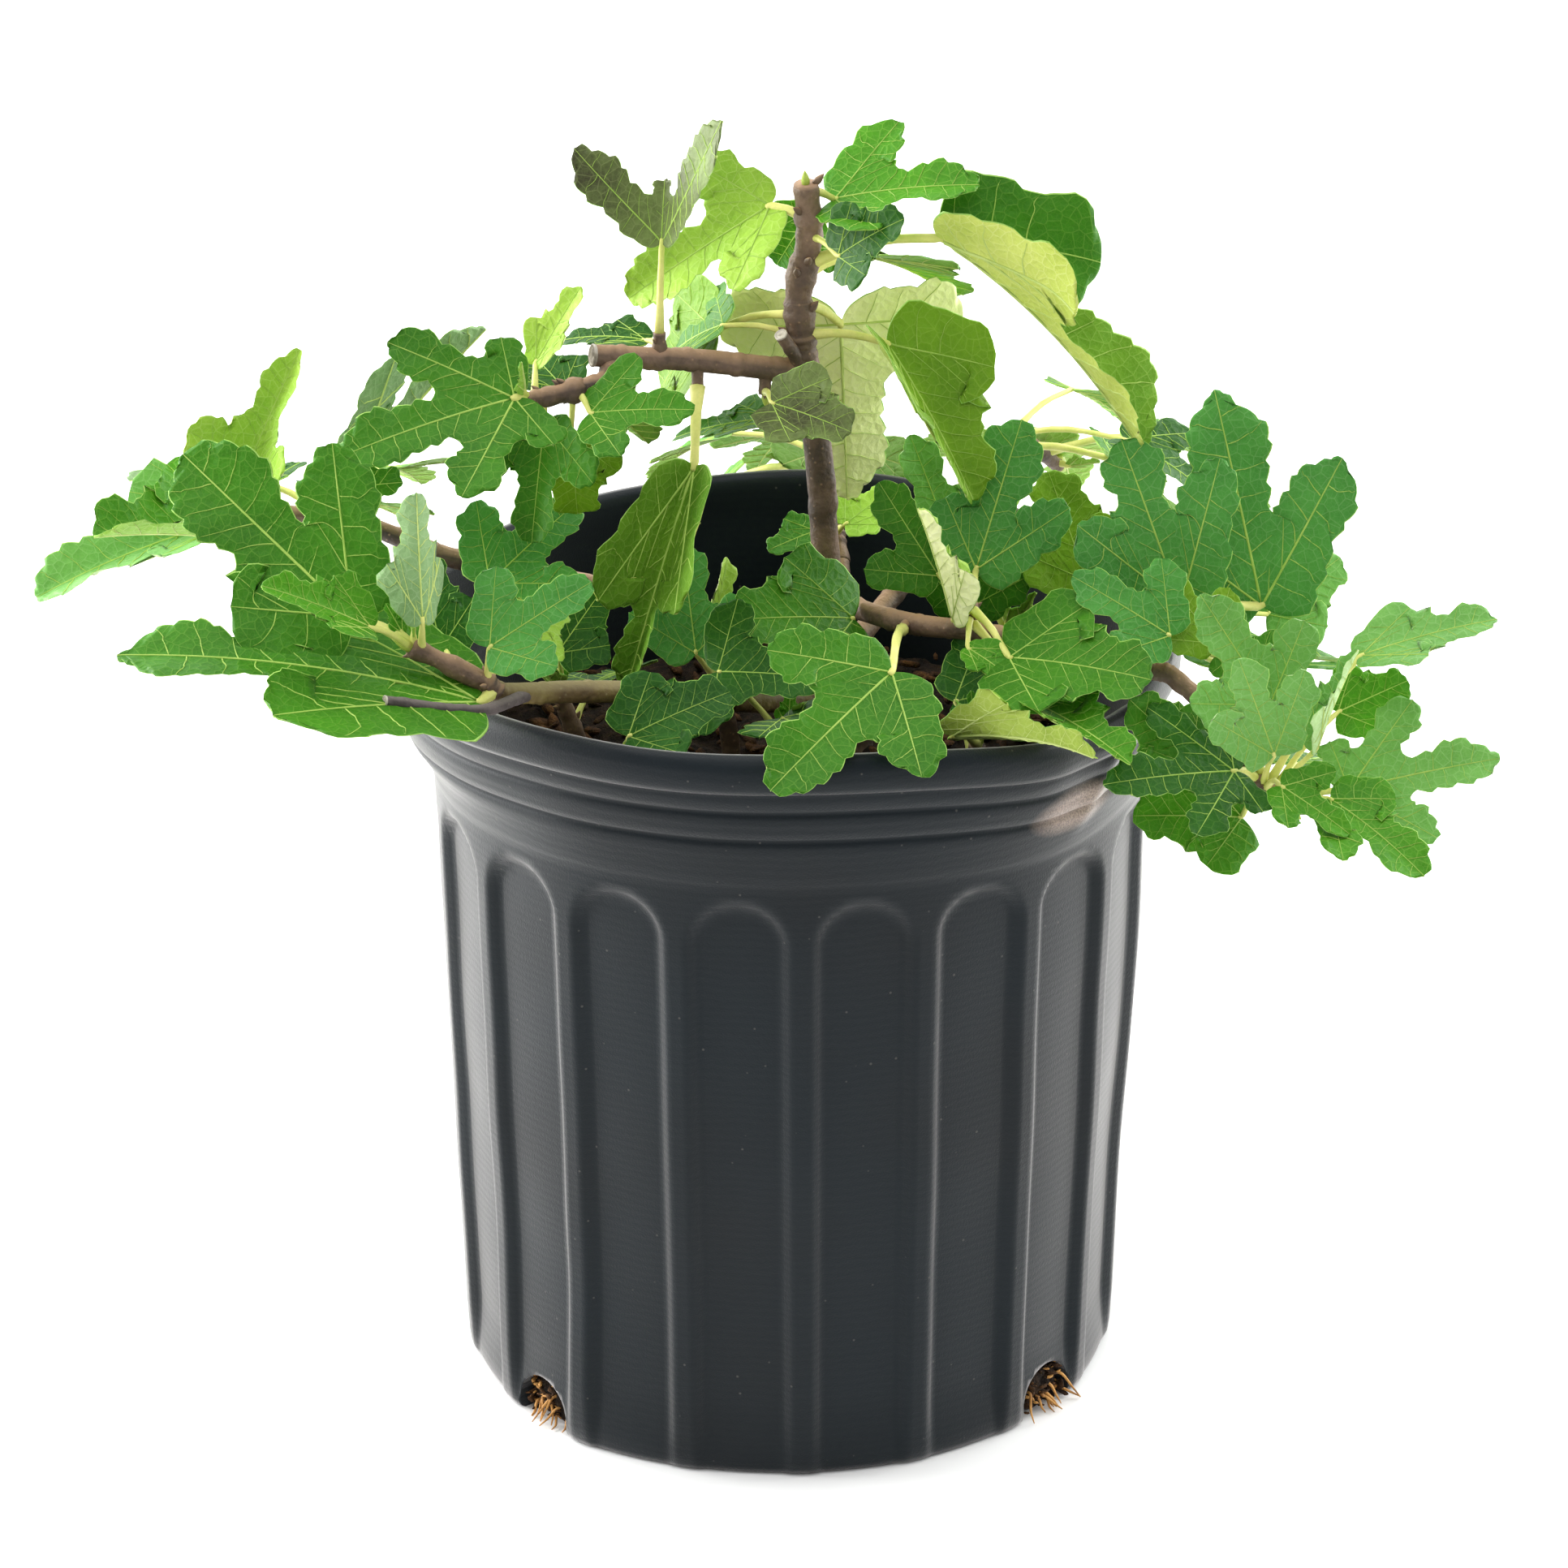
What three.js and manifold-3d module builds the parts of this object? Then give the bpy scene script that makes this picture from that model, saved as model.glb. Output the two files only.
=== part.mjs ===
// Young fig tree in a fluted nursery pot.
// Millimetres, +Z up, the origin on the floor under the middle of the pot.
// The pot stands on its flat underside and is filled with potting mix. The trunk and four low boughs
// rise from it, and every shoot carries its own node of petioles and blades.
import * as THREE from "three";
import Module from "manifold-3d";

const wasm = await Module();
wasm.setup();
const { Manifold, Mesh } = wasm;

// ---------- driving sizes ----------
const GAP = 0.3;                 // clearance between pieces that rest on each other
const POT_HEIGHT = 231;
const RIM_RADIUS = 111;
const FOOT_RADIUS = 93;
const FLOOR = 4;
const FACETS = 36;               // sides of the round pot, two to a flute
const LIMB_SIDES = 7;
const FLUTES = 18;
const FLUTE_START = -67.8;       // degrees from the front to the first flute
const FLUTE_WIDTH = 26;
const FLUTE_FOOT = 4;
const FLUTE_SPRING = 170;        // height where each flute's arch begins
const FLUTE_DEPTH = 2.3;
const DRAIN_TURNS = [-47.8, 52.2, 132.2, -127.8];
const DRAIN_WIDTH = 17;
const DRAIN_HEIGHT = 12.5;
const DRAIN_REACH = 81;          // the drain holes bite this far in, through the corner of the floor
const SIDE_SAG = 5;              // the soft rim hangs lower at its two sides
const DENT_SAG = 7;              // and at the crease in its front right part
const DENT_TURN = 48;
const DENT_SPREAD = 22;
const SAG_FOOT = 150;            // the sag fades out down to this height
const MIX_LEVEL = 180;

// outer wall from the foot to the rolled lip, then down the inside: [radius, height]
const WALL_LINE = [
  [FOOT_RADIUS, 0], [96, 8], [101.6, 184], [102.6, 190.5], [105.4, 203.5], [107.2, 212.5],
  [108, 218.6], [RIM_RADIUS, 221], [RIM_RADIUS, 227], [108.2, POT_HEIGHT], [104.8, 229],
  [103.8, 218], [98.6, 186],
];
const INSIDE_FOOT = 91;

// colours, roughness
const LOOKS = {
  plastic: [0x34373a, 0.42],
  mix: [0x33241a, 0.95],
  bark: [0x7a5648, 0.8],
  deadwood: [0x4a3f3b, 0.85],
  leaf: [0x4d8f38, 0.6],
  youngLeaf: [0x7fa844, 0.6],
};

// Outline of a blade, in parts of its length. A lobe is [turn from the midrib, reach, half width],
// a notch is [turn, reach]; the notches stand before, between and after the lobes.
const FORMS = {
  five: {
    lobes: [[-100, 0.36, 0.12], [-44, 0.72, 0.14], [0, 1, 0.17], [44, 0.72, 0.14], [100, 0.36, 0.12]],
    notches: [[-140, 0.16], [-76, 0.28], [-22, 0.42], [22, 0.42], [76, 0.28], [140, 0.16]],
  },
  three: {
    lobes: [[-52, 0.68, 0.18], [0, 1, 0.2], [52, 0.68, 0.18]],
    notches: [[-116, 0.22], [-26, 0.46], [26, 0.46], [116, 0.22]],
  },
  broad: {
    lobes: [[-48, 0.62, 0.24], [0, 1, 0.25], [48, 0.62, 0.24]],
    notches: [[-118, 0.28], [-25, 0.66], [25, 0.66], [118, 0.28]],
  },
  narrow: {
    lobes: [[-32, 0.52, 0.16], [0, 1, 0.17], [32, 0.52, 0.16]],
    notches: [[-105, 0.14], [-18, 0.6], [18, 0.6], [105, 0.14]],
  },
  mitten: {
    lobes: [[-40, 0.72, 0.17], [0, 1, 0.22], [40, 0.5, 0.2]],
    notches: [[-112, 0.22], [-23, 0.42], [22, 0.52], [112, 0.24]],
  },
  lopsided: {
    lobes: [[-32, 0.6, 0.2], [0, 1, 0.15], [30, 0.76, 0.24]],
    notches: [[-100, 0.2], [-15, 0.5], [15, 0.74], [104, 0.26]],
  },
  cross: {
    lobes: [[-82, 0.62, 0.22], [0, 1, 0.22], [82, 0.62, 0.22]],
    notches: [[-140, 0.2], [-38, 0.42], [38, 0.42], [140, 0.2]],
  },
  fan: {
    lobes: [[-34, 0.86, 0.17], [0, 1, 0.18], [32, 0.76, 0.17]],
    notches: [[-98, 0.24], [-17, 0.54], [15, 0.66], [98, 0.24]],
  },
  wings: {
    lobes: [[-36, 1.12, 0.2], [0, 0.5, 0.1], [40, 0.92, 0.22]],
    notches: [[-96, 0.15], [-13, 0.4], [13, 0.4], [100, 0.16]],
  },
};
const BLADE_THICK = 0.8;
const THICK_SHARE = 0.0105;      // a long blade is at least this part of its length thick
const TIP_LIMIT = 0.8;           // a lobe shorter than this comes to a single corner
const PETIOLE_ROOT = 1.4;
const PETIOLE_TIP = 0.45;
const PETIOLE_ARCH = 0.14;       // how far a petiole bows up, in parts of its length
const PETIOLE_SINK = 1.2;        // how far its end is sunk in the blade
const SLACK = 0.08;                // a fused shoot's surface may move this far to lose slivers
const DIVERGENCE = 144;          // degrees from each leaf to the next up the stem, a 2/5 spiral

// ---------- limbs: [x, y, z, radius] along each ----------
const LIMBS = {
  trunk: [[19, 12, MIX_LEVEL + GAP, 8], [19, 12, 183.5, 6.4], [18, 11.5, 192, 5.2], [15, 10, 210, 4.7],
    [12, 8, 236, 4.6], [9.5, 6, 275, 4.5], [7, 5, 296, 4.4], [5, 4, 308, 4.2]],
  left_arm: [[6.6, 4.9, 299.5, 3.8], [-24, -4, 306.5, 3.6], [-53, -12, 311, 3.5]],
  arm_end_twig: [[-48, -10.8, 309.5, 3.1], [-50, -14.8, 304.8, 3.1], [-56, -17, 303.2, 3.1]],
  low_left_bough: [[16.9, 10.9, 198, 4], [-10, -30, 214, 3.8], [-49, -66, 232, 3.5], [-79, -80, 237.5, 3.3]],
  low_left_cut_twig: [[-70, -76.4, 236, 1.8], [-84, -86, 234.5, 1.8], [-108, -90, 239, 1.6]],
  right_bough: [[12.9, 8.4, 229, 3.6], [34, -24, 235, 3.4], [51, -36, 237.5, 3.2],
    [80, -46, 236, 3.1], [102, -50, 231, 3]],
  right_outer_bough: [[102, -50, 231, 3], [107, -50.9, 229.8, 2.9], [118, -56, 221, 2.8],
    [126, -60, 211, 2.7]],
  back_left_bough: [[15.6, 10.4, 207, 3.9], [-40, 18, 226, 3.6], [-96, 20, 238, 3.2], [-118, 23, 246, 3]],
  back_bough: [[16.9, 10.9, 198, 3.6], [17, 30, 209, 3.5], [16, 51, 223.6, 3.2]],
  back_right_bough: [[15.2, 10.2, 209, 3.6], [45, 60, 228, 3.3], [56, 84, 238, 3]],
};
const STUB = [[5.5, 3.6, 301.5, 2.2], [2, 0, 308, 2.1], [-1, -3, 313.5, 2]];

// ---------- shoots ----------
// wood: the shoot's own stem, as a limb. Each leaf is
// [place along the wood 0..1, petiole x y z, blade x y z, way its upper face looks (turn, rise),
//  form, fold in degrees, droop in degrees].
const SHOOTS = {
  top_leaves: {
    wood: [[5, 4, 308, 4.2], [4.6, 3.8, 312, 4.1], [4, 4, 324, 4], [7, 2.4, 341, 3.7], [6, 0, 357, 3.4]],
    leaves: [
      [0.82, [-11, 5, 3], [-40, 8, -30], [-100, 30], "three", 12, 15],
      [0.85, [0, 18, -6], [-9, 16, -20], [-80, 35], "three", 10, 10],
      [0.97, [8, 4, -4], [38, -12, 8], [-88, 48], "five", 12, 15],
      [0.75, [8, -15, -1], [18, -10, 14], [-70, 45], "broad", 10, 20],
      [0.62, [38, -10, 11], [56, -14, -58], [-20, 40], "lopsided", 52, 30],
      [0.42, [12, 18, -12], [2, 12, -58], [92, 14], "cross", 14, 12],
      [0.2, [24, -4, -1], [22, -14, -40], [-72, 30], "broad", 12, 14],
      [0.36, [-24, 13, -9], [-16, 28, -28], [-108, 45], "broad", 16, 15],
      [0.16, [-22, 2, 3], [-14, 20, -15], [-100, 55], "three", 14, 15],
      [0.56, [18, 14, 2], [26, 28, -22], [50, 48], "broad", 10, 20],
    ],
  },
  arm_upper_leaves: {
    wood: [[-35, -7.1, 309, 2], [-35, -7, 316, 1.6]],
    leaves: [
      [1, [1, 1, 26], [3, 12, 36], [-120, 12], "wings", 30, 8],
      [0.4, [-4, 8, -1], [-24, 11, -4], [-80, 76], "narrow", 14, 22],
    ],
  },
  arm_inner_leaves: {
    wood: [[-5.6, 1.4, 302, 1.8], [-5.6, 0, 295, 1.5]],
    leaves: [
      [0.9, [2, -15, 3], [22, -10, 6], [-90, 52], "cross", 30, 14],
      [0.9, [2, 13, -13], [-28, 14, -11], [-70, 74], "narrow", 10, 16],
    ],
  },
  arm_hanging_leaf: {
    wood: [[-24.5, -4.2, 306, 1.8], [-24.5, -6, 299.5, 1.5]],
    leaves: [
      [1, [-1, -13, -19], [-19, -14, -62], [-80, 26], "narrow", 18, 10],
    ],
  },
  arm_end_leaves: {
    wood: [[-56, -17, 303.2, 3], [-66, -20, 301.8, 2.7], [-72, -22, 301.5, 2.1]],
    leaves: [
      [1, [-3, -4, 2], [-48, -20, -10], [-98, 45], "five", 8, 18],
      [0.1, [4, -8, -4], [29, -9, 4], [-80, 50], "three", 8, 14],
      [0.6, [0, 4, -9], [-4, -8, -33], [-100, 12], "three", 22, 10],
      [0.8, [0, 10, 7], [13, 7, 20], [-130, 26], "narrow", 26, 6],
      [0.5, [4, 12, -2], [-10, 18, 4], [-90, 60], "broad", 12, 12],
      [0.15, [-1, 6, -16], [1, 8, -26], [-90, 16], "broad", 8, 12],
      [0.75, [-12, 12, -9], [-26, 26, -14], [135, 55], "three", 10, 22],
      [0.2, [5, 15, -8], [16, 24, -22], [60, 40], "three", 12, 18],
    ],
  },
  low_left_leaves: {
    wood: [[-79, -80, 237.5, 3.1], [-82, -80.6, 240.5, 3], [-90, -82, 246, 2.8], [-102, -84, 253, 2.3]],
    leaves: [
      [0.95, [-18, 7, 7], [-47, 28, 37], [-88, 26], "mitten", 8, 14],
      [0.92, [1, -7, 12], [-1, 6, 31], [95, 12], "three", 34, 6],
      [1, [-10, -8, 9], [-28, -12, 17], [-120, 52], "narrow", 30, 14],
      [0.7, [-4, 22, -4], [-6, 17, 20], [-92, 24], "broad", 10, 10],
      [0.3, [1, -2, 12], [28, 5, 17], [-84, 40], "three", 22, 12],
      [0.3, [6, 20, 5], [12, 22, 1], [-90, 34], "broad", 8, 10],
      [0.04, [-10, -9, -1], [-92, 0, 14], [-82, 82], "broad", 8, 22],
    ],
  },
  front_left_leaves: {
    wood: [[-42, -62, MIX_LEVEL + GAP, 3.2], [-42, -62, 188, 3], [-44, -72, 216, 2.2]],
    leaves: [
      [0.85, [0, -9, 16], [28, 5, 11], [-88, 52], "broad", 10, 14],
    ],
  },
  inner_leaves: {
    wood: [[-16, -4, MIX_LEVEL + GAP, 3], [-16, -4, 188, 2.8], [-18, -6, 206, 2.3]],
    leaves: [
      [0.9, [-8, -10, 20], [-4, 20, 26], [-90, 12], "three", 10, 10],
      [1, [-5, 5, 12], [6, 13, 23], [-30, 20], "narrow", 34, 8],
      [0.95, [35, -8, 34], [-32, -18, 7], [-84, 46], "broad", 8, 16],
    ],
  },
  inner_front_leaves: {
    wood: [[2, -40, MIX_LEVEL + GAP, 3], [2, -40, 188, 2.8], [0, -46, 208, 2.2]],
    leaves: [
      [1, [-19, 1, 21], [32, -13, 3], [-86, 44], "cross", 10, 16],
      [0.8, [-2, -14, 20], [14, -26, 2], [-80, 62], "broad", 10, 18],
    ],
  },
  inner_left_leaves: {
    wood: [[-56, -24, MIX_LEVEL + GAP, 3], [-56, -24, 188, 2.8], [-64, -30, 216, 2.2]],
    leaves: [
      [1, [-20, 20, 26], [24, 24, 15], [-95, 40], "three", 10, 12],
      [0.9, [-2, -3, 19], [13, 15, 14], [-92, 22], "broad", 10, 10],
      [0.8, [6, 18, 6], [10, 26, -8], [100, 60], "three", 10, 20],
    ],
  },
  inner_right_leaves: {
    wood: [[48, -58, MIX_LEVEL + GAP, 3], [48, -58, 188, 2.8], [53, -62, 214, 2.2]],
    leaves: [
      [1, [-8, -22, 12], [38, -22, 3], [80, 40], "narrow", 26, 30],
      [0.9, [-5, 11, 13], [33, 15, -1], [-88, 60], "three", 10, 14],
    ],
  },
  front_rim_leaf: {
    wood: [[34.6, -23.6, 235, 1.7], [32.6, -33, 236.6, 1.5]],
    leaves: [
      [1, [-4, -55, 10], [-33, -34, -20], [-88, 44], "three", 6, 16],
    ],
  },
  right_spur_leaves: {
    wood: [[51, -36, 237.5, 2.3], [52, -36, 246, 1.8]],
    leaves: [
      [0.6, [-8, 26, 1], [-17, 12, 24], [-100, 22], "three", 10, 10],
      [0.9, [2, 22, 2], [13, 14, 40], [-94, 20], "mitten", 8, 10],
      [0.7, [-5, -8, 0], [-10, 0, 34], [10, 14], "narrow", 52, 8],
      [0.5, [-1, -16, -3], [14, -12, -6], [-90, 56], "narrow", 16, 14],
      [0.8, [10, -22, -6], [38, -19, 1], [-88, 56], "broad", 8, 16],
      [0.4, [15, -28, -13], [27, -33, -5], [-60, 60], "narrow", 34, 20],
    ],
  },
  right_mid_leaves: {
    wood: [[96, -49.2, 232.5, 2.4], [103.5, -46, 243, 2]],
    leaves: [
      [1, [7, 12, 1], [-17, 10, 46], [-86, 20], "fan", 8, 10],
      [1, [31, 26, -5], [-14, 14, 60], [-88, 20], "mitten", 8, 10],
      [0.8, [35, 38, -10], [22, 16, 11], [-90, 20], "broad", 10, 10],
      [0.7, [5, -9, 4], [-27, 7, 15], [-90, 38], "three", 8, 14],
      [0.8, [17, -3, -2], [-14, 9, 17], [-80, 30], "three", 12, 10],
      [0.6, [19, -4, -3], [20, -6, 6], [-90, 50], "three", 12, 14],
      [0.9, [2, 28, 0], [4, 36, -6], [85, 58], "three", 8, 24],
      [0.5, [24, 18, -14], [36, 26, -10], [40, 60], "five", 8, 24],
    ],
  },
  right_tip_leaves: {
    wood: [[126, -60, 211, 2.6], [131, -62, 203, 2.5], [136, -65, 199, 2.3], [140, -67, 196, 1.8]],
    leaves: [
      [0.36, [2, -7, 26], [-20, 2, 32], [-80, 22], "three", 14, 10],
      [0.45, [1, -20, 18], [-11, -6, 31], [-86, 22], "fan", 16, 8],
      [0.7, [10, -5, 17], [11, 4, 28], [-168, 20], "narrow", 50, 8],
      [0.5, [26, 9, 36], [28, 6, 11], [-100, 54], "broad", 10, 14],
      [0.6, [19, 13, 19], [20, 8, 6], [-90, 30], "broad", 10, 10],
      [0.85, [18, -2, 5], [41, -4, 11], [-90, 48], "five", 8, 14],
      [0.95, [10, -17, 10], [24, -23, -13], [-72, 54], "mitten", 12, 22],
      [0.5, [2, -26, 12], [18, -10, -10], [-90, 58], "three", 18, 12],
      [0.34, [-8, -17, 10], [-37, -18, 4], [-96, 50], "five", 8, 14],
      [0.4, [-5, -1, -10], [-31, -10, 5], [-92, 40], "mitten", 8, 12],
      [0.34, [-19, -7, 10], [-18, -6, 20], [-90, 26], "broad", 10, 10],
      [0.7, [6, 14, 4], [20, 30, -14], [60, 55], "three", 8, 24],
      [0.4, [-8, 18, -4], [-6, 34, -22], [100, 48], "five", 8, 22],
    ],
  },
  right_back_leaves: {
    wood: [[60, 22, MIX_LEVEL + GAP, 3], [60, 22, 188, 2.8], [66, 26, 212, 2.2]],
    leaves: [
      [1, [21, -6, 18], [-11, 10, 30], [-80, 18], "broad", 10, 10],
      [0.8, [-12, -8, 20], [6, 12, 30], [-90, 18], "three", 10, 10],
      [0.95, [-18, 15, 27], [-11, 8, 28], [-80, 16], "three", 10, 8],
    ],
  },
  back_left_leaves: {
    wood: [[-118, 23, 246, 2.9], [-125, 24, 248.5, 2.8], [-138, 24, 250, 2.6], [-154, 24, 249, 2]],
    leaves: [
      [0.1, [-4, -5, 16], [38, 22, 38], [150, 34], "mitten", 16, 8],
      [0.2, [-8, -9, 13], [21, -4, 4], [-90, 58], "broad", 10, 10],
      [0.9, [-4, -10, 20], [15, 10, 31], [-110, 20], "cross", 24, 8],
      [1, [-2, -12, -2], [-39, -28, 12], [-130, 62], "broad", 24, 16],
      [0.9, [-8, 10, -4], [-58, -20, -17], [-100, 58], "narrow", 14, 20],
    ],
    rule: { count: 5, seed: 7, from: 0.1, start: 0, heading: 100, spread: 75, fall: 26,
      space: [[-215, -85], [24, 115], [150, 262]] },
  },
  back_leaves: {
    wood: [[16, 51, 223.6, 3.1], [14, 62, 231.8, 3], [13, 98, 239.5, 2.8], [11, 114, 238, 2.6],
      [10, 136, 222, 2]],
    leaves: [
      [0.12, [-6, -6, 6], [-14, -8, -3], [-88, 60], "broad", 10, 10],
      [0.16, [3, -6, 6], [13, 10, 6], [-80, 60], "broad", 10, 10],
    ],
    rule: { count: 7, seed: 7, from: 0.4, start: 160, heading: 92, spread: 90, fall: 34,
      space: [[-60, 38], [90, 215], [110, 262]] },
  },
  back_right_leaves: {
    wood: [[56, 84, 238, 2.9], [61, 95, 243, 2.8], [69, 110, 242, 2.6], [84, 130, 224, 2]],
    leaves: [
    ],
    rule: { count: 7, seed: 3, from: 0.3, start: 120, heading: 45, spread: 90, fall: 30,
      space: [[62, 185], [20, 205], [110, 262]] },
  },
};
const RULE_PETIOLE = [18, 26];   // shortest petiole of a ruled leaf and how much longer it may be
const RULE_BLADE = [36, 14];     // the same for its blade
const RIM_ROOM = 5;              // a ruled leaf keeps this far from the pot's rim
const RULE_FORMS = ["three", "five", "broad", "mitten"];

// ---------- small helpers ----------
const rad = (degrees) => degrees * Math.PI / 180;
const vec = (list) => new THREE.Vector3(list[0], list[1], list[2]);

// Seeded draws between 0 and 1, the same in any language that has whole numbers.
function makeDraw(seed) {
  let state = seed * 7919 + 12345;
  return () => {
    state = (state * 16807) % 2147483647;
    return state / 2147483647;
  };
}

// A turn anticlockwise from +X and a rise above the level, as a unit direction.
function direction(turn, rise) {
  const level = Math.cos(rad(rise));
  return new THREE.Vector3(level * Math.cos(rad(turn)), level * Math.sin(rad(turn)), Math.sin(rad(rise)));
}

function toManifold(positions, triangles) {
  const solid = new Manifold(new Mesh({
    numProp: 3,
    vertProperties: Float32Array.from(positions),
    triVerts: Uint32Array.from(triangles),
  }));
  return solid;
}

// A three.js geometry as a closed manifold solid.
function solidOf(geometry) {
  const source = geometry.index ? geometry.toNonIndexed() : geometry;
  const place = source.getAttribute("position");
  const lookup = new Map();
  const positions = [];
  const triangles = [];
  for (let i = 0; i < place.count; i += 3) {
    const corner = [];
    for (let j = i; j < i + 3; j += 1) {
      const key = [place.getX(j), place.getY(j), place.getZ(j)].map((v) => v.toFixed(4)).join();
      if (!lookup.has(key)) {
        lookup.set(key, positions.length / 3);
        positions.push(place.getX(j), place.getY(j), place.getZ(j));
      }
      corner.push(lookup.get(key));
    }
    if (corner[0] !== corner[1] && corner[1] !== corner[2] && corner[2] !== corner[0]) {
      triangles.push(...corner);
    }
  }
  let solid = toManifold(positions, triangles);
  if (solid.volume() < 0) {
    for (let i = 0; i < triangles.length; i += 3) {
      [triangles[i], triangles[i + 1]] = [triangles[i + 1], triangles[i]];
    }
    solid = toManifold(positions, triangles);
  }
  return solid;
}

// A solid turned about Z from one whose lathe axis is Y.
function lathe(line, facets, turn = 0) {
  const points = line.map(([radius, height]) => new THREE.Vector2(radius, height));
  const geometry = new THREE.LatheGeometry(points, facets, rad(turn));
  geometry.rotateX(Math.PI / 2);
  return solidOf(geometry);
}

// The place, heading and radius at a share of a line of [x, y, z, radius] points: a smooth run
// whose heading at a point is the chord between its two neighbours.
function lineAt(points, share) {
  const last = points.length - 1;
  const span = Math.min(Math.floor(share * last), last - 1);
  const t = share * last - span;
  const spots = points.map(vec);
  const slope = (i) => {
    const a = spots[Math.max(i - 1, 0)];
    const b = spots[Math.min(i + 1, last)];
    const reach = (i > 0 ? a.distanceTo(spots[i]) : 0) + (i < last ? b.distanceTo(spots[i]) : 0);
    return b.clone().sub(a).divideScalar(reach);
  };
  const reach = spots[span].distanceTo(spots[span + 1]);
  const from = slope(span).multiplyScalar(reach);
  const to = slope(span + 1).multiplyScalar(reach);
  const mix = (a, b, c, d) => spots[span].clone().multiplyScalar(a).addScaledVector(from, b)
    .addScaledVector(spots[span + 1], c).addScaledVector(to, d);
  const spot = mix(2 * t ** 3 - 3 * t * t + 1, t ** 3 - 2 * t * t + t, 3 * t * t - 2 * t ** 3, t ** 3 - t * t);
  const along = mix(6 * t * t - 6 * t, 3 * t * t - 4 * t + 1, 6 * t - 6 * t * t, 3 * t * t - 2 * t);
  const radius = points[span][3] * (1 - t) + points[span + 1][3] * t;
  return { spot, along: along.normalize(), radius };
}

// Tube along a line, with flat ends square to it. Grown, it is that much bigger on every side.
function tube(points, sides, steps, grow = 0) {
  const rings = (points.length - 1) * steps;
  const positions = [];
  const triangles = [];
  let across = new THREE.Vector3(0.31, 0.95, 0.08);
  for (let i = 0; i <= rings; i += 1) {
    const { spot: centre, along, radius } = lineAt(points, i / rings);
    centre.addScaledVector(along, i === 0 ? -grow : 0).addScaledVector(along, i === rings ? grow : 0);
    across = across.clone().addScaledVector(along, -across.dot(along)).normalize();
    const other = new THREE.Vector3().crossVectors(along, across);
    for (let j = 0; j < sides; j += 1) {
      const angle = 2 * Math.PI * j / sides;
      const spot = centre.clone().addScaledVector(across, (radius + grow) * Math.cos(angle));
      spot.addScaledVector(other, (radius + grow) * Math.sin(angle));
      positions.push(spot.x, spot.y, spot.z);
    }
  }
  for (let i = 0; i < rings; i += 1) {
    for (let j = 0; j < sides; j += 1) {
      const a = i * sides + j;
      const b = i * sides + (j + 1) % sides;
      triangles.push(a, b, b + sides, a, b + sides, a + sides);
    }
  }
  for (let j = 1; j < sides - 1; j += 1) {
    const end = rings * sides;
    triangles.push(0, j + 1, j, end, end + j, end + j + 1);
  }
  return toManifold(positions, triangles);
}

// ---------- leaves ----------
// Bends a point of the flat blade: u along the midrib, w across it, h off its face. The two halves
// fold up about the midrib, and the midrib droops along an arc.
function bend(u, w, h, fold, droop, length) {
  const side = Math.sign(w);
  let across = w * Math.cos(fold) - side * h * Math.sin(fold);
  let lift = Math.abs(w) * Math.sin(fold) + h * (side === 0 ? 1 : Math.cos(fold));
  let along = u;
  if (droop > 0.001) {
    const radius = length / droop;
    along = (radius + lift) * Math.sin(u / radius);
    lift = (radius + lift) * Math.cos(u / radius) - radius;
  }
  return [along, across, lift];
}

// Corner points of a blade in its own plane, and the triangles of its upper face. Corners 0 and 1
// are the two ends of the short edge where the petiole comes in.
function bladeOutline(form, length) {
  const at = (turn, reach) => [reach * Math.cos(rad(turn)), reach * Math.sin(rad(turn))];
  const flat = [[0, -PETIOLE_ROOT / length], [0, PETIOLE_ROOT / length]];
  const rim = [0];
  const faces = [];
  const notchIds = form.notches.map(([turn, reach]) => flat.push(at(turn, reach)) - 1);
  rim.push(notchIds[0]);
  form.lobes.forEach(([turn, reach, half], k) => {
    const axis = at(turn, 1);
    const near = [flat[notchIds[k]], flat[notchIds[k + 1]]];
    const level = near.map((spot) => spot[0] * axis[0] + spot[1] * axis[1]);
    const middle = Math.max(0.12, (level[0] + level[1]) / 2) * 1.05;
    const spotAt = (share, width) => {
      const run = middle + (reach - middle) * share;
      return flat.push([run * axis[0] - width * axis[1], run * axis[1] + width * axis[0]]) - 1;
    };
    const edge = reach < TIP_LIMIT
      ? [spotAt(0.55, -half), spotAt(1, 0), spotAt(0.55, half)]
      : [spotAt(0.5, -half), spotAt(0.97, -0.4 * half), spotAt(0.97, 0.4 * half), spotAt(0.5, half)];
    const round = [notchIds[k], ...edge, notchIds[k + 1]];
    const turnover = turn < 0 ? round.length : (turn > 0 ? 0 : 2);
    for (let i = 0; i < round.length - 1; i += 1) {
      faces.push([i < turnover ? 0 : 1, round[i], round[i + 1]]);
    }
    if (turn === 0) {
      faces.push([0, round[turnover], 1]);
    }
    rim.push(...edge, notchIds[k + 1]);
  });
  rim.push(1);
  return { flat, rim, faces };
}

// The frame of a blade: its joint, the way it starts, its left side, its upper face, its arc length.
function bladeFrame(joint, reach, face, droop) {
  const chord = reach.length();
  const along = reach.clone().normalize();
  const up = direction(face[0], face[1]);
  up.addScaledVector(along, -up.dot(along)).normalize();
  const side = new THREE.Vector3().crossVectors(up, along);
  const half = rad(droop) / 2;
  const start = along.clone().multiplyScalar(Math.cos(half)).addScaledVector(up, Math.sin(half));
  const top = up.clone().multiplyScalar(Math.cos(half)).addScaledVector(along, -Math.sin(half));
  const length = half > 0.001 ? chord * half / Math.sin(half) : chord;
  return { joint, start, side, top, length };
}

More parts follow.
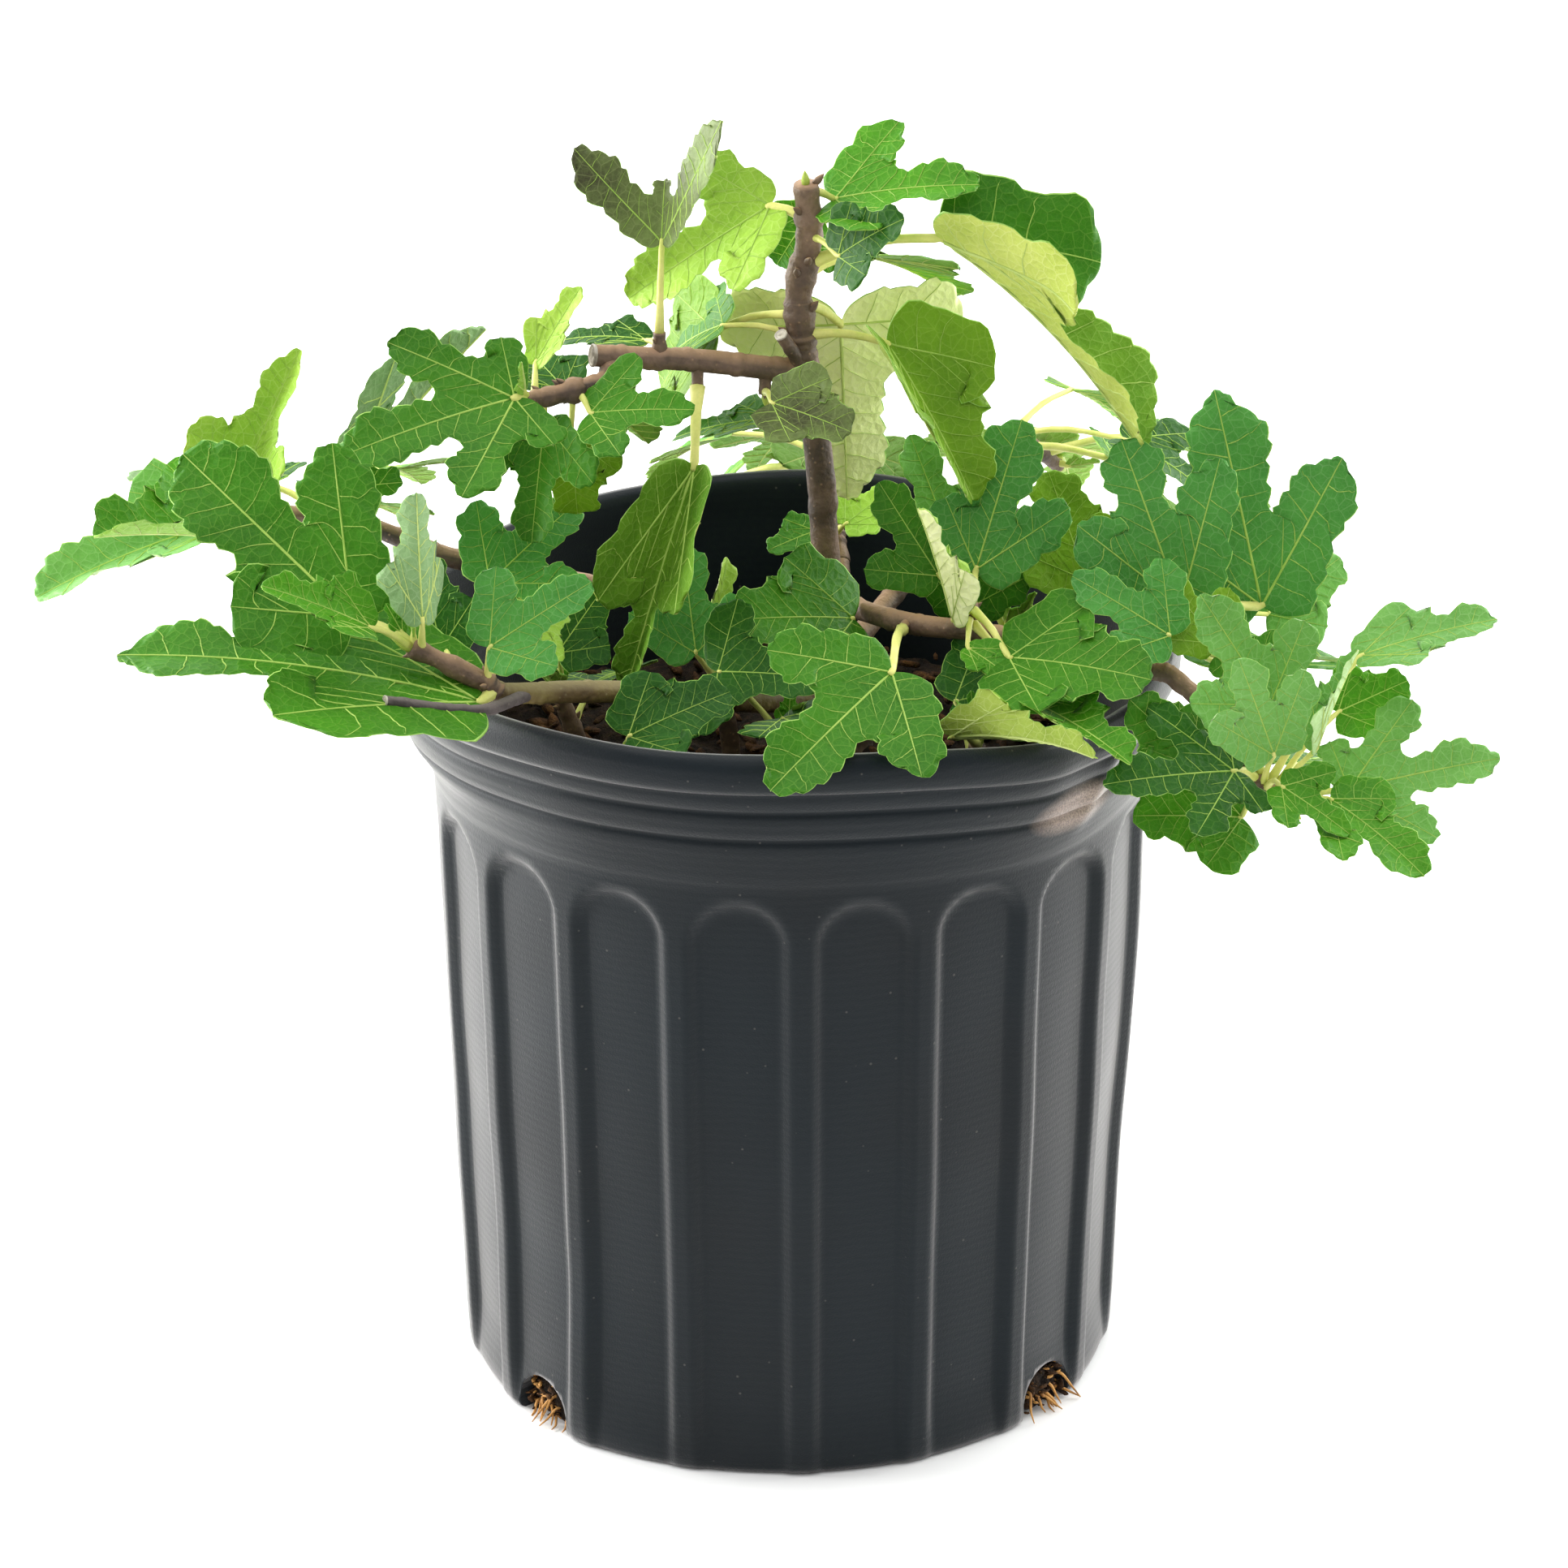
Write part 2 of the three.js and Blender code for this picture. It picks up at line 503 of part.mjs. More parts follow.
function bladeSolid(frame, form, fold, droop) {
  const { flat, rim, faces } = bladeOutline(FORMS[form], frame.length);
  const thick = Math.max(BLADE_THICK, frame.length * THICK_SHARE);
  const positions = [];
  const triangles = [];
  for (const h of [thick / 2, -thick / 2]) {
    for (const [u, w] of flat) {
      const [x, y, z] = bend(u * frame.length, w * frame.length, h, rad(fold), rad(droop), frame.length);
      const spot = frame.joint.clone().addScaledVector(frame.start, x);
      spot.addScaledVector(frame.side, y).addScaledVector(frame.top, z);
      positions.push(spot.x, spot.y, spot.z);
    }
  }
  const under = flat.length;
  for (const [a, b, c] of faces) {
    triangles.push(a, b, c, under + a, under + c, under + b);
  }
  for (let i = 0; i < rim.length; i += 1) {
    const a = rim[i];
    const b = rim[(i + 1) % rim.length];
    triangles.push(a, under + a, under + b, a, under + b, b);
  }
  return toManifold(positions, triangles);
}

// A three-sided stalk from the middle of the wood, bowed up, its thin end sunk in the blade's edge.
function petioleSolid(root, frame) {
  const run = frame.joint.clone().sub(root);
  const middle = root.clone().addScaledVector(run, 0.5);
  middle.z += 0.5 * PETIOLE_ARCH * run.length();
  const tip = frame.joint.clone().addScaledVector(frame.start, PETIOLE_SINK);
  const line = [[root, PETIOLE_ROOT], [middle, PETIOLE_ROOT], [tip, PETIOLE_TIP]];
  return tube(line.map(([spot, radius]) => [spot.x, spot.y, spot.z, radius]), 3, 1);
}

// Leaves that no one row sets: they follow the spiral up the wood, face up and out, and are left out
// where their joint or tip would leave the shoot's own space or their blade would meet the rim.
function ruledLeaves(shoot) {
  const { count, seed, from, start, heading, spread, fall, space } = shoot.rule;
  const draw = makeDraw(seed);
  const inside = (spot) => [spot.x, spot.y, spot.z].every((v, i) => v >= space[i][0] && v <= space[i][1]);
  const clear = (spot) => Math.hypot(spot.x, spot.y) > RIM_RADIUS + RIM_ROOM
    || spot.z > POT_HEIGHT + RIM_ROOM;
  const rows = [];
  for (let i = 0; i < count; i += 1) {
    const place = from + (1 - from) * i / (count - 1);
    const swing = ((start + DIVERGENCE * i) % 360) / 180 - 1;
    const turn = heading + spread * swing + 10 * (draw() - 0.5);
    const stalk = direction(turn, 14 - fall * draw());
    stalk.multiplyScalar(RULE_PETIOLE[0] + RULE_PETIOLE[1] * draw());
    const blade = direction(turn + 16 * (draw() - 0.5), -fall - 24 * draw());
    blade.multiplyScalar(RULE_BLADE[0] + RULE_BLADE[1] * draw());
    const joint = lineAt(shoot.wood, place).spot.add(stalk);
    const form = RULE_FORMS[Math.floor(draw() * RULE_FORMS.length)];
    const tip = joint.clone().add(blade);
    const middle = joint.clone().addScaledVector(blade, 0.5);
    const half = new THREE.Vector3(-blade.y, blade.x, 0).multiplyScalar(0.5);
    const corners = [joint, tip, middle.clone().add(half), middle.clone().sub(half)];
    if (inside(joint) && inside(tip) && corners.every(clear)) {
      rows.push([place, stalk.toArray(), blade.toArray(), [turn, 52], form, 8, 24]);
    }
  }
  return rows;
}

// A shoot's wood, petioles and blades fused, kept clear of the space the limbs have taken.
function shootSolid(shoot, taken) {
  const parts = [tube(shoot.wood, 6, 1)];
  const rows = shoot.rule ? shoot.leaves.concat(ruledLeaves(shoot)) : shoot.leaves;
  for (const [place, stalk, reach, face, form, fold, droop] of rows) {
    const root = lineAt(shoot.wood, place).spot;
    const joint = root.clone().add(vec(stalk));
    const frame = bladeFrame(joint, vec(reach), face, droop);
    parts.push(petioleSolid(root, frame));
    parts.push(bladeSolid(frame, form, fold, droop));
  }
  return largest(Manifold.union(parts).subtract(Manifold.union(taken)).simplify(SLACK));
}

// A limb, kept clear of the limbs before it: a bough sits on its carrier as on a saddle.
function limbSolid(name, points, taken) {
  let solid = tube(points, LIMB_SIDES, 2);
  if (name === "trunk") {
    solid = solid.add(tube(STUB, 6, 1));
  }
  return taken.length > 0 ? largest(solid.subtract(Manifold.union(taken))) : solid;
}

// The biggest outer shell of a union: loose scraps go, and sealed hollows with them.
function largest(solid) {
  const pieces = solid.decompose();
  pieces.sort((a, b) => b.volume() - a.volume());
  return pieces[0];
}

// ---------- the pot ----------
// The arch-topped outline of a flute or a drain hole, pushed out along the radius at a turn from
// the front, its foot at a height and its inner face leaning with the wall.
function archCutter(width, foot, spring, inner, depth, turn, lean) {
  const shape = new THREE.Shape();
  const half = width / 2;
  shape.moveTo(-half, foot);
  shape.lineTo(half, foot);
  shape.lineTo(half, spring);
  shape.absarc(0, spring, half, 0, Math.PI, false);
  const geometry = new THREE.ExtrudeGeometry(shape, { depth, bevelEnabled: false, curveSegments: 4 });
  geometry.rotateX(lean);
  geometry.translate(0, 0, inner);
  geometry.rotateX(Math.PI / 2);
  geometry.rotateZ(rad(turn));
  return solidOf(geometry);
}

// How far the soft rim hangs down at a place on it.
function rimSag(x, y, z) {
  const turn = Math.atan2(x, -y) * 180 / Math.PI;
  const rise = Math.min(1, Math.max(0, (z - SAG_FOOT) / (POT_HEIGHT - SAG_FOOT)));
  const side = SIDE_SAG * Math.sin(rad(turn)) ** 2;
  const dent = DENT_SAG * Math.exp(-(((turn - DENT_TURN) / DENT_SPREAD) ** 2));
  return (side + dent) * rise * rise * (3 - 2 * rise);
}

function potSolid() {
  const line = [[0, 0], ...WALL_LINE, [INSIDE_FOOT, FLOOR], [0, FLOOR]];
  let pot = lathe(line, FACETS, FLUTE_START + 180 / FACETS);
  const lean = Math.atan((101.6 - 96) / (184 - 8));
  const cutters = [];
  for (let i = 0; i < FLUTES; i += 1) {
    const turn = FLUTE_START + 360 / FLUTES * i;
    cutters.push(archCutter(FLUTE_WIDTH, FLUTE_FOOT - 10, FLUTE_SPRING, 95.8 - FLUTE_DEPTH, 20, turn, lean));
  }
  for (const turn of DRAIN_TURNS) {
    const spring = DRAIN_HEIGHT - DRAIN_WIDTH / 2;
    cutters.push(archCutter(DRAIN_WIDTH, -5, spring, DRAIN_REACH, 30, turn, 0));
  }
  pot = pot.subtract(Manifold.union(cutters));
  return pot.simplify(SLACK).warp((spot) => {
    spot[2] -= rimSag(spot[0], spot[1], spot[2]);
  });
}

// The root ball: fills the pot to its level and shows as a plug with a few roots in each drain hole.
function mixSolid() {
  const slope = (98.6 - INSIDE_FOOT) / (186 - FLOOR);
  const top = INSIDE_FOOT + slope * (MIX_LEVEL - FLOOR) - 2.6;
  const line = [[0, FLOOR + GAP], [INSIDE_FOOT - 2.6, FLOOR + GAP], [top, MIX_LEVEL - 3],
    [top - 3, MIX_LEVEL], [0, MIX_LEVEL]];
  const parts = [lathe(line, FACETS / 2, FLUTE_START)];
  const draw = makeDraw(3);
  for (const turn of DRAIN_TURNS) {
    const plugWidth = DRAIN_WIDTH - 2 * GAP - 1;
    const spring = DRAIN_HEIGHT - GAP - 0.5 - plugWidth / 2;
    parts.push(archCutter(plugWidth, 0.8, spring, DRAIN_REACH + 0.6, 10.5, turn, 0));
    for (const side of [-1, 1]) {
      const at = rad(turn + side * 2.2);
      const out = 95 + 4 * draw();
      const wander = 0.03 * (draw() - 0.5);
      parts.push(tube([
        [88 * Math.sin(at), -88 * Math.cos(at), 4.5 + 3 * draw(), 0.8],
        [(out + 2) * Math.sin(at + 2 * wander), -(out + 2) * Math.cos(at + 2 * wander), 1, 0.5],
      ], 3, 1));
    }
  }
  return largest(Manifold.union(parts));
}

// ---------- scene ----------
function meshOf(name, solid, look) {
  const data = solid.getMesh();
  const geometry = new THREE.BufferGeometry();
  const places = new Float32Array(data.numVert * 3);
  for (let i = 0; i < data.numVert; i += 1) {
    for (let k = 0; k < 3; k += 1) {
      places[3 * i + k] = data.vertProperties[i * data.numProp + k];
    }
  }
  geometry.setAttribute("position", new THREE.BufferAttribute(places, 3));
  geometry.setIndex(new THREE.BufferAttribute(Uint32Array.from(data.triVerts), 1));
  geometry.computeVertexNormals();
  const [color, roughness] = LOOKS[look];
  const mesh = new THREE.Mesh(geometry, new THREE.MeshStandardMaterial({ color, roughness, metalness: 0 }));
  mesh.name = name;
  return mesh;
}

const YOUNG = ["right_tip_leaves", "back_left_leaves", "top_leaves"];
const plant = new THREE.Group();
plant.name = "potted_fig_tree";
plant.add(meshOf("pot", potSolid(), "plastic"));
plant.add(meshOf("potting_mix", mixSolid(), "mix"));
const taken = [];
for (const [name, points] of Object.entries(LIMBS)) {
  const look = name === "low_left_cut_twig" ? "deadwood" : "bark";
  plant.add(meshOf(name, limbSolid(name, points, taken), look));
  taken.push(tube(points, LIMB_SIDES, 2, GAP));
  if (name === "trunk") {
    taken.push(tube(STUB, 6, 1, GAP));
  }
}
for (const [name, shoot] of Object.entries(SHOOTS)) {
  plant.add(meshOf(name, shootSolid(shoot, taken), YOUNG.includes(name) ? "youngLeaf" : "leaf"));
}

export default plant;
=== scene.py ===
"""Young fig tree in a fluted nursery pot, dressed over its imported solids.

Every size is in millimetres until a mesh is made, which is in metres. The frame is the part's own:
the origin on the floor under the middle of the pot, X to the right, Y away from the camera, Z up.
The leaves, petioles and shoots grow on from the limbs by the rule of the part's source.
"""

import logging
import math
from collections.abc import Iterable, Sequence
from dataclasses import dataclass, field
from enum import Enum
from functools import cache

import bmesh
import bpy
import numpy as np
from bpy.types import ID, Material, Mesh, Node, NodeTree, Object
from bpy.types import NodeSocket as Socket
from mathutils import Matrix, Vector

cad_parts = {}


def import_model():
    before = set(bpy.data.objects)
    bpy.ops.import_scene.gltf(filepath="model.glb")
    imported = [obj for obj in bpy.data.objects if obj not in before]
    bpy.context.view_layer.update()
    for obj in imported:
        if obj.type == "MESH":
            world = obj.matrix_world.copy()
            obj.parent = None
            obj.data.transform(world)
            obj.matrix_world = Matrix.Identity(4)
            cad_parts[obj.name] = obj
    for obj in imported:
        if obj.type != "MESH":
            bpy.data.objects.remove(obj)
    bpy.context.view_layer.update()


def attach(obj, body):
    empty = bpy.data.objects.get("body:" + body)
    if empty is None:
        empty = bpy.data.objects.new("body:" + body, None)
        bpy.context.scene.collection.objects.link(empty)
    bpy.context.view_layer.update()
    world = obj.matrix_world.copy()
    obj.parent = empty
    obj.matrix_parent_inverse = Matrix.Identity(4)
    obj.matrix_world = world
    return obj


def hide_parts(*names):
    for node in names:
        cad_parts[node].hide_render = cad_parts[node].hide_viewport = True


LOG = logging.getLogger("fig_tree")
Array = np.ndarray
Pair = tuple[float, float]
Point = tuple[float, float, float]
Line = tuple[tuple[float, float, float, float], ...]
MM = 0.001
BODY = "root"


# ---------------- numbers
def unit(vectors: Array) -> Array:
    """Vectors divided by their lengths, along the last axis."""
    size = np.linalg.norm(vectors, axis=-1, keepdims=True)
    return vectors / np.maximum(size, 1e-9)


def direction(turn: float, rise: float) -> Array:
    """Unit vector that is turned anticlockwise from +X and raised above the level, in degrees."""
    a, b = math.radians(turn), math.radians(rise)
    return np.array([math.cos(b) * math.cos(a), math.cos(b) * math.sin(a), math.sin(b)])


def smooth(value: Array, low: float, high: float) -> Array:
    """Smooth step: 0 below low, 1 above high, three t squared less two t cubed between."""
    t = np.clip((value - low) / (high - low), 0.0, 1.0)
    return t * t * (3 - 2 * t)


def waves(points: Array, pitch: float, seed: int, count: int = 7) -> Array:
    """Soft random swell: sine waves of about one pitch and seeded headings, added up.

    Their sum is divided by the root of their number, which keeps the swell's strength about the same.

    Args:
        points: places, with any number of coordinates along the last axis.
        pitch: typical wave length, in the same unit.
        seed: picks the headings and phases.
        count: number of waves.

    Returns:
        Values mostly between -1 and 1, one for each place.
    """
    draw = np.random.default_rng(seed)
    headings = unit(draw.normal(size=(count, points.shape[-1])))
    turns = 2 * math.pi / (pitch * draw.uniform(0.7, 1.5, count))
    phases = draw.uniform(0, 2 * math.pi, count)
    return np.sin(points @ (headings * turns[:, None]).T + phases).sum(axis=-1) / math.sqrt(count)


def turns_of(count: int) -> Array:
    """Even turns round a full circle, in radians."""
    return np.linspace(0, 2 * math.pi, count, endpoint=False)


def way_along(points: Array) -> Array:
    """How far each point is from the first, along the line through them."""
    return np.concatenate([[0], np.cumsum(np.linalg.norm(np.diff(points, axis=0), axis=1))])


class SeededDraw:
    """Seeded draws between 0 and 1, the same whole-number rule as the part's source."""

    def __init__(self, seed: int) -> None:
        """Starts the row of draws from a seed."""
        self.state = seed * 7919 + 12345

    def __call__(self) -> float:
        """The next draw."""
        self.state = (self.state * 16807) % 2147483647
        return self.state / 2147483647


def run_along(line: Array, shares: Array) -> tuple[Array, Array, Array]:
    """Smooth run through a line of points.

    Between two points the place is the cubic whose heading at each point is the chord between its two
    neighbours divided by the way through them; the radius changes evenly.

    Args:
        line: rows of x, y, z, radius.
        shares: places along the line, 0 to 1, each span taking an equal share.

    Returns:
        The places, the unit headings and the radii.
    """
    spots, last = line[:, :3], len(line) - 1
    legs = np.linalg.norm(np.diff(spots, axis=0), axis=1)
    reach = np.concatenate([[0], legs]) + np.concatenate([legs, [0]])
    index = np.arange(last + 1)
    slope = (spots[np.minimum(index + 1, last)] - spots[np.maximum(index - 1, 0)]) / reach[:, None]
    shares = np.clip(np.asarray(shares, float), 0, 1)
    span = np.minimum((shares * last).astype(int), last - 1)
    t = (shares * last - span)[:, None]
    first, second = slope[span] * legs[span][:, None], slope[span + 1] * legs[span][:, None]
    here, there = spots[span], spots[span + 1]
    spot = ((2 * t**3 - 3 * t**2 + 1) * here + (t**3 - 2 * t**2 + t) * first
            + (3 * t**2 - 2 * t**3) * there + (t**3 - t**2) * second)
    along = ((6 * t**2 - 6 * t) * here + (3 * t**2 - 4 * t + 1) * first
             + (6 * t - 6 * t**2) * there + (3 * t**2 - 2 * t) * second)
    radius = line[span, 3] * (1 - t[:, 0]) + line[span + 1, 3] * t[:, 0]
    return spot, unit(along), radius


def rotations(angles: Array, axis: int) -> Array:
    """Rotations about one of the three axes.

    Args:
        angles: in radians, one for each rotation.
        axis: 0, 1 or 2.

    Returns:
        A three by three matrix for each angle.
    """
    first, second = (axis + 1) % 3, (axis + 2) % 3
    found = np.zeros((len(angles), 3, 3))
    found[:, axis, axis] = 1
    found[:, first, first] = found[:, second, second] = np.cos(angles)
    found[:, second, first] = np.sin(angles)
    found[:, first, second] = -np.sin(angles)
    return found


def spot_at(line: Array, share: float) -> tuple[Array, Array, float]:
    """The place, the heading and the radius at one share of a line."""
    spot, along, radius = run_along(line, np.array([share]))
    return spot[0], along[0], float(radius[0])


def ring_frames(along: Array) -> tuple[Array, Array]:
    """Two directions square to each heading, carried from ring to ring without twist.

    Args:
        along: unit headings, one for each ring.

    Returns:
        The first and second direction of each ring.
    """
    guide = np.array([0.31, 0.95, 0.08])
    across = np.empty_like(along)
    for i, heading in enumerate(along):
        guide = guide - guide.dot(heading) * heading
        guide = guide / max(np.linalg.norm(guide), 1e-9)
        across[i] = guide
    return across, np.cross(along, across)


def linear(code: int) -> tuple[float, float, float, float]:
    """A colour given as 0xRRGGBB in screen values, as the linear colour that shaders take."""
    parts = np.array([(code >> 16) & 255, (code >> 8) & 255, code & 255]) / 255
    return (*np.where(parts <= 0.04045, parts / 12.92, ((parts + 0.055) / 1.055) ** 2.4).tolist(), 1.0)


# ---------------- meshes
def grid_faces(rows: int, columns: int, wrap: bool) -> Array:
    """Corner numbers of the quads of a grid of rows by columns points.

    A quad's corners are the point, the next one in its row, and the same two of the next row.

    Args:
        rows: rows of points.
        columns: points in a row.
        wrap: whether the last column joins the first.

    Returns:
        Four corner numbers for each quad.
    """
    side = np.arange(columns if wrap else columns - 1)
    a = (np.arange(rows - 1)[:, None] * columns + side[None]).ravel()
    b = (np.arange(rows - 1)[:, None] * columns + (side[None] + 1) % columns).ravel()
    return np.stack([a, b, b + columns, a + columns], axis=1)


@dataclass
class Shell:
    """Points and quads gathered for one piece, with a finish number and flat coordinates for each."""

    points: list[Array] = field(default_factory=list)
    faces: list[Array] = field(default_factory=list)
    finish: list[Array] = field(default_factory=list)
    flat: list[Array] = field(default_factory=list)
    total: int = 0

    def add(self, points: Array, faces: Array, finish: int = 0,
            flat: Array | None = None) -> None:
        """Adds a patch.

        Args:
            points: places, in millimetres, on any grid.
            faces: quads that number those places row by row.
            finish: which of the piece's materials the patch takes.
            flat: two flat coordinates for each place, for a pattern that follows the surface.
        """
        points = points.reshape(-1, 3)
        self.points.append(points)
        self.faces.append(faces + self.total)
        self.finish.append(np.full(len(faces), finish))
        self.flat.append(np.zeros((len(points), 2)) if flat is None else flat.reshape(-1, 2))
        self.total += len(points)

    def tube(self, line: Array, sides: int, rings: int, finish: int = 0,
             swell: Array | None = None) -> None:
        """Adds a round stalk along a line.

        A ring's points stand at the line's radius, times its swell, from the smooth run through the
        line; the first and last ring shrink to a point, which closes the ends.

        Args:
            line: rows of x, y, z, radius.
            sides: points round the stalk.
            rings: rings along it.
            finish: the patch's material.
            swell: factors on the radius, one for each ring.
        """
        spot, along, radius = run_along(line, np.linspace(0, 1, rings))
        if swell is not None:
            radius = radius * swell
        spot = np.concatenate([spot[:1], spot, spot[-1:]])
        along = np.concatenate([along[:1], along, along[-1:]])
        radius = np.concatenate([[0.0], radius, [0.0]])
        across, other = ring_frames(along)
        angle = turns_of(sides)
        ring = across[:, None] * np.cos(angle)[None, :, None] + other[:, None] * np.sin(angle)[None, :, None]
        grid = spot[:, None] + ring * radius[:, None, None]
        flat = np.stack(np.broadcast_arrays(angle[None] * radius.mean(), way_along(spot)[:, None]), axis=-1)
        self.add(grid, grid_faces(len(spot), sides, True), finish, flat)


def place_object(name: str, data: ID) -> Object:
    """Makes an object from its data and puts it in the scene.

    Args:
        name: the object's name.
        data: its mesh, light or camera.

    Returns:
        The new object.
    """
    made = bpy.data.objects.new(name, data)
    bpy.context.scene.collection.objects.link(made)
    return made


def clean_mesh(mesh: Mesh, merge: float = 0.0, recalculate: bool = True) -> None:
    """Cleans a mesh: joins doubles, drops faces that have shrunk to nothing, turns faces outwards.

    Args:
        mesh: the mesh.
        merge: how close two points may be before they become one, in metres; 0 joins none.
        recalculate: whether faces are turned outwards.
    """
    work = bmesh.new()
    work.from_mesh(mesh)
    if merge:
        bmesh.ops.remove_doubles(work, verts=work.verts, dist=merge)
        bmesh.ops.dissolve_degenerate(work, edges=work.edges, dist=merge * 0.5)
    if recalculate:
        bmesh.ops.recalc_face_normals(work, faces=work.faces)
    work.to_mesh(mesh)
    work.free()


def make_piece(name: str, shell: Shell, finishes: Sequence[Material], nodes: Iterable[str],
               merge: float = 0.004, recalculate: bool = False) -> Object:
    """Turns a shell into a finished piece in the frame.

    The points go in as one array and the quads as another; doubles within the merge distance become
    one point, which closes seams and poles. The piece rides on the plant's body and stands for its
    nodes.

    Args:
        name: the piece's name.
        shell: its points, quads and finish numbers.
        finishes: the materials that the finish numbers pick from.
        nodes: the solids it stands for.
        merge: how close two points may be before they become one, in millimetres.
        recalculate: whether the faces are turned outwards again after the merge.

    Returns:
        The new object.
    """
    points = np.concatenate(shell.points) * MM
    faces = np.concatenate(shell.faces)
    mesh = bpy.data.meshes.new(name)
    mesh.vertices.add(len(points))
    mesh.vertices.foreach_set("co", points.astype(np.float32).ravel())
    mesh.loops.add(faces.size)
    mesh.loops.foreach_set("vertex_index", faces.astype(np.int32).ravel())
    mesh.polygons.add(len(faces))
    mesh.polygons.foreach_set("loop_start", np.arange(0, faces.size, 4, dtype=np.int32))
    for finish in finishes:
        mesh.materials.append(finish)
    mesh.polygons.foreach_set("material_index", np.concatenate(shell.finish).astype(np.int32))
    flat = np.concatenate(shell.flat)
    layer = mesh.uv_layers.new(name="flat")
    layer.data.foreach_set("uv", (flat[faces.ravel()] * 0.1).astype(np.float32).ravel())
    mesh.update(calc_edges=True)
    clean_mesh(mesh, merge * MM, recalculate)
    mesh.validate()
    mesh.polygons.foreach_set("use_smooth", np.ones(len(mesh.polygons), dtype=bool))
    mesh.update()
    piece = place_object(name, mesh)
    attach(piece, BODY)
    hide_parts(*nodes)
    return piece


# ---------------- materials
Feed = Socket | float | Sequence[float]


class Nodes:
    """Short way to lay out a material's or a group's nodes."""

    def __init__(self, tree: NodeTree) -> None:
        """Takes the tree that the nodes go in."""
        self.tree = tree

    def feed(self, target: Socket, value: Feed) -> None:
        """Gives an input what it reads.

        Args:
            target: the input.
            value: another node's output, which is linked, or a plain value.
        """
        if isinstance(value, Socket):
            self.tree.links.new(value, target)
        else:
            target.default_value = value

    def add(self, kind: str, feeds: dict[str | int, Feed] | None = None,
            **settings: object) -> Node:
        """Adds a node.

        Args:
            kind: the node's type.
            feeds: what each input reads, by the input's name or number.
            **settings: the node's own properties.

        Returns:
            The new node.
        """
        node = self.tree.nodes.new(kind)
        for key, value in settings.items():
            setattr(node, key, value)
        for key, value in (feeds or {}).items():
            self.feed(node.inputs[key], value)
        return node

    def maths(self, operation: str, *values: Feed, clamp: bool = False) -> Socket:
        """Result of a sum on values or outputs, given in the order of the node's inputs."""
        feeds = dict(enumerate(values))
        return self.add("ShaderNodeMath", feeds, operation=operation, use_clamp=clamp).outputs[0]

    def remap(self, value: Socket, span: tuple[Feed, Feed], result: tuple[Feed, Feed],
              **settings: object) -> Socket:
        """Carries a value from one span to another and holds it at both ends.

        Args:
            value: what is carried.
            span: the values that become the result's first and last.
            result: the values at the two ends.
            **settings: the node's own properties.

        Returns:
            The value in the new span.
        """
        feeds = {"Value": value, "From Min": span[0], "From Max": span[1],
                 "To Min": result[0], "To Max": result[1]}
        return self.add("ShaderNodeMapRange", feeds, **settings).outputs[0]

    def mix(self, weight: Feed, base: Feed, top: Feed) -> Socket:
        """Base colour with the top colour laid over it by a weight."""
        return self.add("ShaderNodeMix", {0: weight, 6: base, 7: top}, data_type="RGBA").outputs[2]

    def ramp(self, source: Socket, stops: Sequence[tuple[float, Sequence[float]]]) -> Socket:
        """Turns a value into colours.

        Args:
            source: the value.
            stops: values and the linear colours that stand at them.

        Returns:
            The colour, mixed evenly between two stops.
        """
        node = self.add("ShaderNodeValToRGB", {"Fac": source})
        ramp = node.color_ramp
        while len(ramp.elements) < len(stops):
            ramp.elements.new(0.5)
        for element, (place, colour) in zip(ramp.elements, stops):
            element.position, element.color = place, colour
        return node.outputs["Color"]

    def group(self, tree: NodeTree, place: Socket, **values: float) -> Node:
        """Places a shared group, fed with a place and with values of this material's own."""
        return self.add("ShaderNodeGroup", {"Place": place, **values}, node_tree=tree)


def new_group(name: str, values: dict[str, float],
              outputs: Sequence[str]) -> tuple[Nodes, Node, Node]:
    """Starts a shader node group that reads a place and named values and gives named values.

    Args:
        name: the group's name.
        values: name and default of each value that it reads.
        outputs: name of each value that it gives.

    Returns:
        The group's nodes, its input node and its output node.
    """
    tree = bpy.data.node_groups.new(name, "ShaderNodeTree")
    tree.interface.new_socket(name="Place", in_out="INPUT", socket_type="NodeSocketVector")
    for label, value in values.items():
        made = tree.interface.new_socket(name=label, in_out="INPUT", socket_type="NodeSocketFloat")
        made.default_value = value
    for label in outputs:
        tree.interface.new_socket(name=label, in_out="OUTPUT", socket_type="NodeSocketFloat")
    nodes = Nodes(tree)
    return nodes, nodes.add("NodeGroupInput"), nodes.add("NodeGroupOutput")


@cache
def mottle_group() -> NodeTree:
    """Group of a soft mottle: a slow noise with a quarter of a fine one, both over a place.

    Returns:
        The group, made once.
    """
    nodes, enter, leave = new_group("soft_mottle", {"Scale": 60.0, "Fine": 900.0}, ("Value", "Grain"))
    slow, fine = (
        nodes.add("ShaderNodeTexNoise", {
            "Vector": enter.outputs["Place"], "Scale": enter.outputs[scale], "Detail": detail}).outputs["Fac"]
        for scale, detail in (("Scale", 3.0), ("Fine", 2.0)))
    nodes.feed(leave.inputs["Value"], nodes.maths("MULTIPLY_ADD", fine, 0.25, slow))
    nodes.feed(leave.inputs["Grain"], fine)
    return nodes.tree


